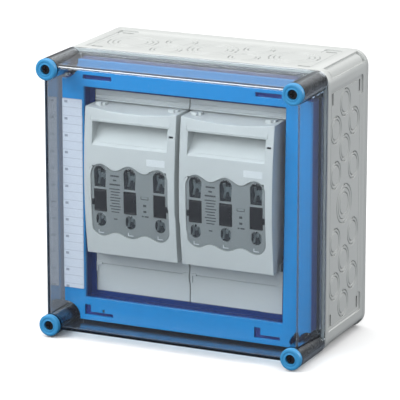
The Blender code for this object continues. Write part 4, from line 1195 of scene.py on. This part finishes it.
def build_handles(sizes, colours):
    """The bulging handles with their grip recess, window pocket, fuse posts and hinge pegs."""
    bottom, top, back = HANDLE.z_low, HANDLE.z_high, HANDLE.back
    wall = 2.5 * MM
    half, inside = HANDLE_HALF, HANDLE_HALF - wall
    grip_half, grip_low, grip_high, grip_floor = 43 * MM, 57 * MM, 81.5 * MM, 125 * MM
    past = 1 * MM
    pad_low, pad_high = WINDOW.z_low - 3 * MM, WINDOW.z_high + 3 * MM
    floor_inset = 4.4 * MM

    def grip_wedge(bm):
        skin = 2 * MM
        front = handle_front(grip_low) - 1 * MM
        profile = [
            (front - skin, grip_low - skin), (grip_floor - skin, grip_high - 1.2 * MM),
            (grip_floor - skin, grip_high + skin), (front - 1 * MM, grip_high + skin),
        ]
        add_side_prism(bm, profile, -grip_half - skin, grip_half + skin)

    def grip_cut(bm):
        profile = [
            (handle_front(grip_low), grip_low), (grip_floor, grip_high - 1 * MM), (grip_floor, grip_high),
            (HANDLE.front + past, grip_high), (HANDLE.front + past, grip_low),
        ]
        add_side_prism(bm, profile, -grip_half, grip_half)

    def pocket_cut(bm):
        outline = wavy_outline(0.4 * MM, 6)
        pocket = new_piece("pocket", lambda inner: add_prism(inner, outline, 130 * MM, 160 * MM))
        keep_inside(pocket, lambda inner: add_side_prism(
            inner, sheet_profile(pad_low, pad_high, -6 * MM, floor_inset + 6 * MM), -half, half
        ))
        bm.from_mesh(pocket.data)
        bpy.data.objects.remove(pocket)

    def pole_slots(bm):
        for x in POLES:
            add_box(bm, x - 8 * MM, x + 8 * MM, 136 * MM, HANDLE.front, -31 * MM, 35 * MM)

    def fuse_posts(bm):
        for x in POLES:
            for side in (-1, 1):
                ends = sorted((x + side * 9 * MM, x + side * 11.5 * MM))
                add_box(bm, *ends, 113.9 * MM, handle_front(0) - floor_inset - 1 * MM, -14 * MM, 10 * MM)

    def hinge_relief(bm):
        for side in (-1, 1):
            ends = sorted((side * (half - 2 * MM), side * (half + past)))
            add_box(bm, *ends, back - past, HINGE_DEPTH + 11 * MM, bottom - past, HINGE_Z + 11 * MM)

    def pegs(bm):
        for side in (-1, 1):
            ends = sorted((side * (half - 2.25 * MM), side * (HANDLE.x_high - HANDLE.x)))
            outline = [(HINGE_DEPTH + a, HINGE_Z + b) for a, b in circle(2.5 * MM, 24)]
            add_side_prism(bm, outline, *ends)

    def mark_slot(bm):
        add_box(bm, 44.6 * MM, 49.2 * MM, 140 * MM, HANDLE.front + past, 72.2 * MM, 74.4 * MM)

    handle = new_piece("handle", lambda bm: add_side_prism(
        bm, filled_profile(bottom, top, 0.0, back), -half, half
    ))
    cut(handle, lambda bm: add_side_prism(
        bm, filled_profile(bottom + 2 * MM, top - wall, wall, back - past), -inside, inside
    ))
    join(handle, lambda bm: add_side_prism(
        bm, sheet_profile(pad_low, pad_high, 1.5 * MM, floor_inset + 0.7 * MM), -46 * MM, 46 * MM
    ))
    join(handle, grip_wedge)
    cut(handle, grip_cut)
    cut(handle, pocket_cut)
    cut(handle, pole_slots)
    join(handle, fuse_posts)
    cut(handle, hinge_relief)
    join(handle, pegs)
    cut(handle, mark_slot)
    dip_top_edge(handle)
    soften(handle, sizes.edge_round, 3, 30)
    place_both(handle, "switch_handle", handle_finish(colours), "handle_grey", HANDLE_BODY, "handle")


def build_handle_trim():
    """The black mark behind the small slot and the blank white label."""
    outline = rounded_rect(10.5 * MM, 3.5 * MM, 0.6 * MM, 3)
    tag_x, tag_z = 30.5 * MM, 44.5 * MM
    surface = handle_front(tag_z)
    tag = new_piece("tag", lambda bm: add_prism(bm, outline, surface - 0.2 * MM, surface + 0.25 * MM))
    tag.data.transform(Matrix.Translation((tag_x, 0, tag_z)))
    soften(tag, 0.1 * MM)
    card = moulded_material("blank tag card", (0.78, 0.80, 0.80), roughness=0.45, mottle=0.02)
    place_both(tag, "handle_tag", card, "label_white", HANDLE_BODY)
    mark = new_piece("mark", lambda bm: add_box(
        bm, 44.3 * MM, 49.2 * MM, 141.5 * MM, handle_front(73 * MM) - 1.2 * MM, 71.8 * MM, 74.8 * MM
    ))
    soften(mark, 0.2 * MM)
    place_both(mark, "handle_slot_black", black_finish(), "fastener_black", HANDLE_BODY)


def build_window_plates(colours):
    """The inset plates with three openings at each pole, and the clear panes behind them."""
    inset, sheet = PLATE_INSET, 1.6 * MM
    half = (WINDOW.x_high - WINDOW.x_low) / 2

    def openings(bm):
        for x in POLES:
            half_block, *block_ends = BLOCK_WINDOW
            block = rectangle(-half_block, half_block, *block_ends)
            for outline in (arch(*UPPER_WINDOW), block, oval(*LOWER_WINDOW)):
                add_prism(bm, moved(outline, x, 0), 140 * MM, 155 * MM)

    past = 1 * MM
    profile = sheet_profile(WINDOW.z_low - past, WINDOW.z_high + past, inset, sheet)
    plate = new_piece("plate", lambda bm: add_side_prism(bm, profile, -half - past, half + past))
    keep_inside(plate, lambda bm: add_prism(bm, wavy_outline(0.0, 6), 130 * MM, 160 * MM))
    cut(plate, openings)
    soften(plate, 0.3 * MM, 2, 30)
    grey = moulded_material(
        "window plate moulding", colours.window_plate, roughness=0.3, mottle=0.04, depth=0.03
    )
    place_both(plate, "window_surround", grey, "window_grey", HANDLE_BODY, "window_plate")
    pane_inset = inset + sheet + 0.3 * MM
    pane = new_piece("pane", lambda bm: add_side_prism(
        bm, sheet_profile(PANE.z_low, PANE.z_high, pane_inset, 1.2 * MM), -42 * MM, 42 * MM
    ))
    soften(pane, 0.15 * MM)
    clear = clear_material("clear window plastic", (0.80, 0.83, 0.84), 0.03)
    place_both(pane, "window_glazing", clear, "pane_clear", HANDLE_BODY, "window_pane")


def build_window_details():
    """In each pole's openings: a black gripping block, clear lenses and, behind them, a black fuse carrier
    that also serves as painted shade for the handle's dark hollow.
    """
    black = black_finish()
    lens = clear_material("clear lens plastic", (0.86, 0.90, 0.92), 0.02)
    bright = metal_material("bright spring steel", (0.92, 0.92, 0.90), 0.42, 0.05)
    surface = plate_front(-2 * MM)
    carrier_front = 143.4 * MM

    def block_shape(bm):
        add_box(bm, -7.0 * MM, 7.0 * MM, surface - 1.9 * MM, surface + 0.25 * MM, -13.3 * MM, 10.3 * MM)

    def lens_shape(outline_of, centre_z):
        depth = plate_front(centre_z)
        return lambda bm: add_loft(bm, [
            layered(outline_of(0.1 * MM), depth - 1.5 * MM),
            layered(outline_of(0.1 * MM), depth - 0.1 * MM),
            layered(outline_of(0.7 * MM), depth + 0.35 * MM),
            layered(outline_of(1.8 * MM), depth + 0.55 * MM),
        ])

    def top_lens(inset):
        half_top, half_bottom, low, high = UPPER_WINDOW
        return arch(half_top - inset, half_bottom - inset, low + inset, high - inset)

    def low_lens(inset):
        half, low, high = LOWER_WINDOW
        return oval(half - inset, low + inset, high - inset)

    # Painted shade: a black box in each pole slot, shaped as a fuse carrier, so that the windows look dark as
    # the shade in the hollow behind them would make them.
    def shade_carrier_shape(bm):
        add_box(bm, -7.7 * MM, 7.7 * MM, 138 * MM, carrier_front, -30.7 * MM, 34.7 * MM)

    def carrier_cuts(bm):
        for low, high in ((14 * MM, 31 * MM), (-29 * MM, -16 * MM)):
            add_box(bm, -5.2 * MM, 5.2 * MM, carrier_front - 2.6 * MM, carrier_front + 1 * MM, low, high)

    def lug_shapes(bm):
        for side in (-1, 1):
            for low, high, lean in ((15 * MM, 30 * MM, 1.6 * MM), (-28 * MM, -17 * MM, 1.0 * MM)):
                foot, tip = side * 3.9 * MM, side * (3.9 * MM - lean)
                section = ((foot, low), (tip, (low + high) / 2), (foot, high))
                wire = moved(circle(1.3 * MM, 12), 0, carrier_front - 1.5 * MM)
                add_loft(bm, [[at(x + a, depth, z) for a, depth in wire] for x, z in section])

    def cap_shape(bm):
        for half, tall, z in ((2.0 * MM, 2.6 * MM, 24.5 * MM), (1.6 * MM, 2.2 * MM, -20.5 * MM)):
            outline = moved(oval(half, -tall, tall), 0, z)
            add_prism(bm, outline, carrier_front - 2.7 * MM, carrier_front - 0.6 * MM)

    for number, x in enumerate(POLES, 1):
        shift = Matrix.Translation((x, 0, 0))
        block = new_piece("block", block_shape)
        for low, high in ((-12 * MM, -11.2 * MM), (8.2 * MM, 9.0 * MM)):
            cut(block, lambda bm: add_box(
                bm, -5.6 * MM, 5.6 * MM, surface - 0.3 * MM, surface + 1 * MM, low, high
            ))
        side = number - 2
        if side:
            ends = sorted((side * 6.5 * MM, side * 9.6 * MM))
            join(block, lambda bm: add_box(
                bm, *ends, surface - 0.2 * MM, surface + 0.6 * MM, -7 * MM, -0.5 * MM
            ))
        block.data.transform(shift)
        soften(block, 0.3 * MM, 2)
        place_both(block, f"grip_block_{number}", black, "fastener_black", HANDLE_BODY)
        for name, outline_of, centre_z in (("upper", top_lens, 24 * MM), ("lower", low_lens, -23 * MM)):
            dome = new_piece("dome", lens_shape(outline_of, centre_z))
            dome.data.transform(shift)
            smooth(dome, 50)
            place_both(dome, f"{name}_lens_{number}", lens, "pane_clear", HANDLE_BODY)
        carrier = new_piece("carrier", shade_carrier_shape)
        cut(carrier, carrier_cuts)
        carrier.data.transform(shift)
        soften(carrier, 0.25 * MM, 2)
        place_both(carrier, f"fuse_carrier_{number}", black, "fastener_black", HANDLE_BODY)
        lugs = new_piece("lugs", lug_shapes)
        lugs.data.transform(shift)
        smooth(lugs, 50)
        place_both(lugs, f"carrier_lugs_{number}", bright, "contact_silver", HANDLE_BODY)
        cap = new_piece("cap", cap_shape)
        cap.data.transform(shift)
        soften(cap, 0.3 * MM, 2)
        place_both(cap, f"carrier_studs_{number}", bright, "contact_silver", HANDLE_BODY)


def build_plate_marks():
    """Small moulded marks on the window plates: a corner mark at each pole and rows of short bars."""
    white = moulded_material("white latch moulding", (0.7, 0.72, 0.74), roughness=0.4)
    ink = moulded_material("dark grey print", (0.055, 0.06, 0.065), roughness=0.5, mottle=0.1)

    def corner_marks(bm):
        for x in POLES:
            low, high, left, right, line = -37.6 * MM, -33.2 * MM, x - 3.6 * MM, x + 2.4 * MM, 0.8 * MM
            depth = plate_front(-35.4 * MM)
            outline = [
                (left, high), (left, low), (right, low), (right, low + line), (left + line, low + line),
                (left + line, high),
            ]
            add_prism(bm, outline, depth - 0.3 * MM, depth + 0.15 * MM)

    def bar_rows(bm):
        left_column, right_column = (POLES[0] + POLES[1]) / 2, (POLES[1] + POLES[2]) / 2
        rows = [(left_column, 26 * MM, 10 * MM, 1.7 * MM), (left_column, 21.4 * MM, 4 * MM, 1.7 * MM)]
        rows += [(left_column, 16.8 * MM, 12 * MM, 1.7 * MM)]
        rows += [
            (left_column + (i % 2) * 0.6 * MM, (12 - 3.1 * i) * MM, (12.4 - 1.7 * (i % 3)) * MM, 1.1 * MM)
            for i in range(9)
        ]
        rows += [(left_column, -20.5 * MM, 4 * MM, 1.5 * MM)]
        rows += [(right_column, -2 * MM, 3.4 * MM, 3.0 * MM), (right_column, -8.4 * MM, 3.4 * MM, 3.0 * MM)]
        rows += [(right_column - 2.6 * MM, -14 * MM, 2.0 * MM, 1.6 * MM)]
        rows += [(right_column + 1.8 * MM, -14 * MM, 4.6 * MM, 1.6 * MM)]
        for x, z, width, height in rows:
            depth = plate_front(z)
            add_prism(
                bm, rectangle(x - width / 2, x + width / 2, z - height / 2, z + height / 2),
                depth - 0.3 * MM, depth + 0.05 * MM,
            )
        z = 6 * MM
        depth = plate_front(z)
        outer = rectangle(right_column - 4.4 * MM, right_column + 4.4 * MM, z - 1.9 * MM, z + 1.9 * MM)
        inner = rectangle(right_column - 3.7 * MM, right_column + 3.7 * MM, z - 1.2 * MM, z + 1.2 * MM)
        ends = depth - 0.3 * MM, depth + 0.05 * MM
        corners = ((inner, ends[0]), (outer, ends[0]), (outer, ends[1]), (inner, ends[1]))
        add_loft(bm, [layered(outline, depth) for outline, depth in corners], ring=True)

    marks = new_piece("marks", corner_marks)
    place_both(marks, "pole_corner_marks", white, "label_white", HANDLE_BODY)
    bars = new_piece("bars", bar_rows)
    place_both(bars, "rating_bars", ink, "label_white", HANDLE_BODY)


def build_covers(colours):
    """The terminal covers: caps with a lip along the handle, shallow fields and a latch at the seam."""
    finish = moulded_material("cover moulding", colours.handle, roughness=0.36, mottle=0.03, depth=0.03)
    wall, past = 2 * MM, 1 * MM
    for label, extent in (("top_cover", TOP_COVER), ("bottom_cover", BOTTOM_COVER)):
        half = (extent.x_high - extent.x_low) / 2
        low, high, back, front = extent.z_low, extent.z_high, extent.back, extent.front
        if label == "top_cover":
            shelf, lip, groove, floor = 99 * MM, front + 1.1 * MM, 103 * MM, front - 0.9 * MM
            outline = [
                (back, low), (lip, low), (lip, shelf), (front, shelf + 0.4 * MM), (front, groove),
                (floor, groove), (floor, groove + 0.8 * MM), (front, groove + 0.8 * MM), (front, high),
                (back, high),
            ]
        else:
            shelf, lip, floor = -79 * MM, front + 1.3 * MM, front - 0.9 * MM
            outline = [
                (back, low), (front, low), (front, shelf - 1 * MM), (floor, shelf - 1 * MM), (floor, shelf),
                (lip, shelf), (lip, high), (back, high),
            ]
        cover = new_piece("cover", lambda bm: add_side_prism(bm, outline, -half, half))
        cut(cover, lambda bm: add_box(
            bm, wall - half, half - wall, back - past, front - wall, low + wall, high - wall
        ))
        soften(cover, 0.3 * MM, 2)
        place_both(cover, label + "_cap", finish, "cover_grey", "box", label)
    half, front = BOTTOM_COVER.x_high - BOTTOM_COVER.x, BOTTOM_COVER.front

    def latch_shapes(bm):
        for side in (-1, 1):
            near, stem, arm = side * (half - 0.2 * MM), side * (half - 2.4 * MM), side * (half - 7 * MM)
            outline = [
                (near, -77.6 * MM), (near, -88 * MM), (stem, -88 * MM), (stem, -80.6 * MM), (arm, -80.6 * MM),
                (arm, -77.6 * MM),
            ]
            add_prism(bm, outline, front + 0.05 * MM, front + 2 * MM)

    latches = new_piece("latches", latch_shapes)
    soften(latches, 0.25 * MM, 2)
    place_both(latches, "cover_latches", finish, "cover_grey", "box")


def build_catches(colours):
    """Two small catches on top of each handle."""
    low, high = HANDLE.z_high - 1.5 * MM, HANDLE.z_high + 1.6 * MM

    def catches(bm):
        for side in (-1, 1):
            ends = sorted((side * 36 * MM, side * 47 * MM))
            add_box(bm, *ends, 124 * MM, 131 * MM, low, high)
            middle = side * 41.5 * MM
            add_box(bm, middle - 2 * MM, middle + 2 * MM, 126 * MM, 134 * MM, low, high + 0.7 * MM)

    catch = new_piece("catch", catches)
    soften(catch, 0.35 * MM, 2)
    place_both(catch, "handle_catches", handle_finish(colours), "handle_grey", HANDLE_BODY)


def dress_cad_nodes():
    """Finishes and rounded edges for the inner pieces whose CAD shape is kept."""
    switch = moulded_material("switch base moulding", (0.30, 0.32, 0.32), roughness=0.42, mottle=0.05)
    silver = metal_material("silver-plated copper", (0.78, 0.76, 0.70), 0.26, 0.12)
    steel = metal_material("galvanised steel", (0.55, 0.57, 0.58), 0.38, 0.25)
    zinc = metal_material("zinc-plated steel", (0.66, 0.66, 0.64), 0.24, 0.1)
    ceramic = speckled_material("fuse ceramic", (0.74, 0.71, 0.63), (0.46, 0.42, 0.34), 0.5)
    finishes = [("mounting_plate", steel, 0.3 * MM)]
    finishes += [("plate_screw_" + corner, zinc, 0.4 * MM) for corner in CORNERS]
    finishes += [("corner_post_" + corner, black_finish(), 0.3 * MM) for corner in CORNERS]
    for side in SIDES:
        finishes.append((f"{side}_body", switch, 0.3 * MM))
        for number in (1, 2, 3):
            finishes += [
                (f"{side}_upper_contact_{number}", silver, 0.3 * MM),
                (f"{side}_lower_contact_{number}", silver, 0.3 * MM),
                (f"{side}_fuse_blades_{number}", silver, 0.4 * MM),
                (f"{side}_fuse_body_{number}", ceramic, 1.2 * MM),
            ]
    for name, material, width in finishes:
        piece = frame["nodes"][name]
        piece.data.materials.clear()
        piece.data.materials.append(material)
        modifier = piece.modifiers.new("Edge rounding", "BEVEL")
        modifier.width = width
        modifier.segments = 2
        modifier.limit_method = "ANGLE"
        modifier.angle_limit = math.radians(35)
        modifier.harden_normals = True


# Stage


def studio_world(stage):
    """Surroundings that are white to look at, and light the box brightly from above and dimly aside."""
    world = bpy.data.worlds.new("studio")
    world.use_nodes = True
    tree = world.node_tree
    rise = axis(tree, node(tree, "ShaderNodeTexCoord").outputs["Generated"], "Z")
    glow = ranged(tree, rise, 0.12, 0.75, stage.horizon, stage.overhead, "SMOOTHSTEP")
    seen = node(tree, "ShaderNodeLightPath").outputs["Is Camera Ray"]
    strength = math_node(tree, "MAXIMUM", seen, glow)
    tree.links.new(strength, tree.nodes["Background"].inputs["Strength"])
    tree.nodes["Background"].inputs["Color"].default_value = (1, 1, 1, 1)
    return world


def build_stage(stage):
    """Floor that is pale to the camera and dark in reflections and bounced light, surroundings, soft lights
    and the camera.
    """
    scene = bpy.context.scene
    scene.view_settings.view_transform = "Standard"
    floor_z = BASE.z_low - 0.5 * MM
    reach, thickness = 6, 0.02
    floor = new_piece("floor", lambda bm: add_box(
        bm, -reach, reach, -reach, reach, floor_z - thickness, floor_z
    ))
    material, tree, shader = blank_material("pale floor")
    clouds = noise(tree, local_place(tree), 40)
    pale = mix_colour(tree, clouds, (0.93, 0.93, 0.93, 1), (0.97, 0.97, 0.97, 1))
    # Painted reflection and shade: the floor is pale only to camera rays and dark to every other ray, so the
    # object reflects a dark floor and gets little light from below.
    seen = node(tree, "ShaderNodeLightPath").outputs["Is Camera Ray"]
    tree.links.new(mix_colour(tree, seen, (0.13, 0.14, 0.16, 1), pale), shader.inputs["Base Color"])
    shader.inputs["Roughness"].default_value = 0.9
    floor.data.materials.append(material)
    scene.world = studio_world(stage)
    def soft_light(name, place, size, power):
        lamp = bpy.data.lights.new(name, "AREA")
        lamp.shape = "RECTANGLE"
        lamp.size, lamp.size_y = size
        lamp.energy = power
        item = bpy.data.objects.new(name, lamp)
        item.location = place
        item.rotation_euler = (AIM - Vector(place)).to_track_quat("-Z", "Y").to_euler()
        scene.collection.objects.link(item)

    soft_light("key", (-1.1, -1.5, 1.5), (1.2, 1.2), stage.key_power)
    soft_light("front", (0.2, -2.4, 0.9), (1.2, 0.8), stage.front_power)
    soft_light("side", (1.7, 1.1, 0.7), (0.6, 1.2), stage.side_power)
    camera_data = bpy.data.cameras.new("camera")
    camera_data.sensor_width = SENSOR_WIDTH
    camera_data.lens = FOCAL_LENGTH
    camera = bpy.data.objects.new("camera", camera_data)
    azimuth, elevation = stage.azimuth, stage.elevation
    back = Vector((
        math.sin(azimuth) * math.cos(elevation), -math.cos(azimuth) * math.cos(elevation), math.sin(elevation)
    ))
    camera.location = AIM + back * stage.distance
    camera.rotation_euler = (-back).to_track_quat("-Z", "Y").to_euler()
    scene.collection.objects.link(camera)
    scene.camera = camera


# Operators, panel and registration


class BOX_OT_base(bpy.types.Operator):
    """Build the moulded base and the seal"""

    bl_idname = "combiner_box.base"
    bl_label = "Base and seal"

    def execute(self, context):
        box = context.scene
        build_base(box.box_sizes, box.box_colours)
        build_gasket(box.box_sizes)
        return {"FINISHED"}


class BOX_OT_lid(bpy.types.Operator):
    """Build the clear lid"""

    bl_idname = "combiner_box.lid"
    bl_label = "Clear lid"

    def execute(self, context):
        build_lid(context.scene.box_sizes, context.scene.box_colours)
        return {"FINISHED"}


class BOX_OT_fasteners(bpy.types.Operator):
    """Build the lid fasteners and their rings"""

    bl_idname = "combiner_box.fasteners"
    bl_label = "Lid fasteners"

    def execute(self, context):
        build_fasteners(context.scene.box_colours)
        return {"FINISHED"}


class BOX_OT_frame(bpy.types.Operator):
    """Build the cover frame with its clips and the label strip"""

    bl_idname = "combiner_box.cover_frame"
    bl_label = "Cover frame and label"

    def execute(self, context):
        scene = context.scene
        build_cover_frame(scene.box_sizes, scene.box_colours)
        build_frame_details()
        build_label(scene.box_sizes)
        return {"FINISHED"}


class BOX_OT_handles(bpy.types.Operator):
    """Build the switch handles and their trim"""

    bl_idname = "combiner_box.handles"
    bl_label = "Switch handles"

    def execute(self, context):
        build_handles(context.scene.box_sizes, context.scene.box_colours)
        build_handle_trim()
        build_catches(context.scene.box_colours)
        return {"FINISHED"}


class BOX_OT_windows(bpy.types.Operator):
    """Build the window plates, panes, lenses and gripping blocks"""

    bl_idname = "combiner_box.windows"
    bl_label = "Handle windows"

    def execute(self, context):
        build_window_plates(context.scene.box_colours)
        build_window_details()
        build_plate_marks()
        return {"FINISHED"}


class BOX_OT_covers(bpy.types.Operator):
    """Build the terminal covers"""

    bl_idname = "combiner_box.covers"
    bl_label = "Terminal covers"

    def execute(self, context):
        build_covers(context.scene.box_colours)
        return {"FINISHED"}


class BOX_OT_inner(bpy.types.Operator):
    """Finish the inner pieces: switch bases, contacts, fuse-links, plate and posts"""

    bl_idname = "combiner_box.inner"
    bl_label = "Inner pieces"

    def execute(self, context):
        dress_cad_nodes()
        return {"FINISHED"}


class BOX_OT_stage(bpy.types.Operator):
    """Set up the floor, lights and camera"""

    bl_idname = "combiner_box.stage"
    bl_label = "Stage"

    def execute(self, context):
        build_stage(context.scene.box_stage)
        return {"FINISHED"}


class BOX_PT_panel(bpy.types.Panel):
    """Lists the steps that build the combiner box"""

    bl_idname = "BOX_PT_panel"
    bl_label = "Combiner box"
    bl_space_type = "VIEW_3D"
    bl_region_type = "UI"
    bl_category = "Combiner box"

    def draw(self, context):
        for operator in OPERATORS:
            self.layout.operator(operator.bl_idname)


OPERATORS = (
    BOX_OT_stage, BOX_OT_base, BOX_OT_fasteners, BOX_OT_frame, BOX_OT_handles,
    BOX_OT_windows, BOX_OT_covers, BOX_OT_inner, BOX_OT_lid,
)
CLASSES = (BoxSizes, BoxColours, StageSettings, *OPERATORS, BOX_PT_panel)


def register():
    for item in CLASSES:
        bpy.utils.register_class(item)
    bpy.types.Scene.box_sizes = PointerProperty(type=BoxSizes)
    bpy.types.Scene.box_colours = PointerProperty(type=BoxColours)
    bpy.types.Scene.box_stage = PointerProperty(type=StageSettings)


def unregister():
    del bpy.types.Scene.box_stage
    del bpy.types.Scene.box_colours
    del bpy.types.Scene.box_sizes
    for item in reversed(CLASSES):
        bpy.utils.unregister_class(item)


def main():
    register()
    for operator in OPERATORS:
        step = operator.bl_idname.split(".")[1]
        getattr(bpy.ops.combiner_box, step)()


if __name__ == "__main__":
    main()
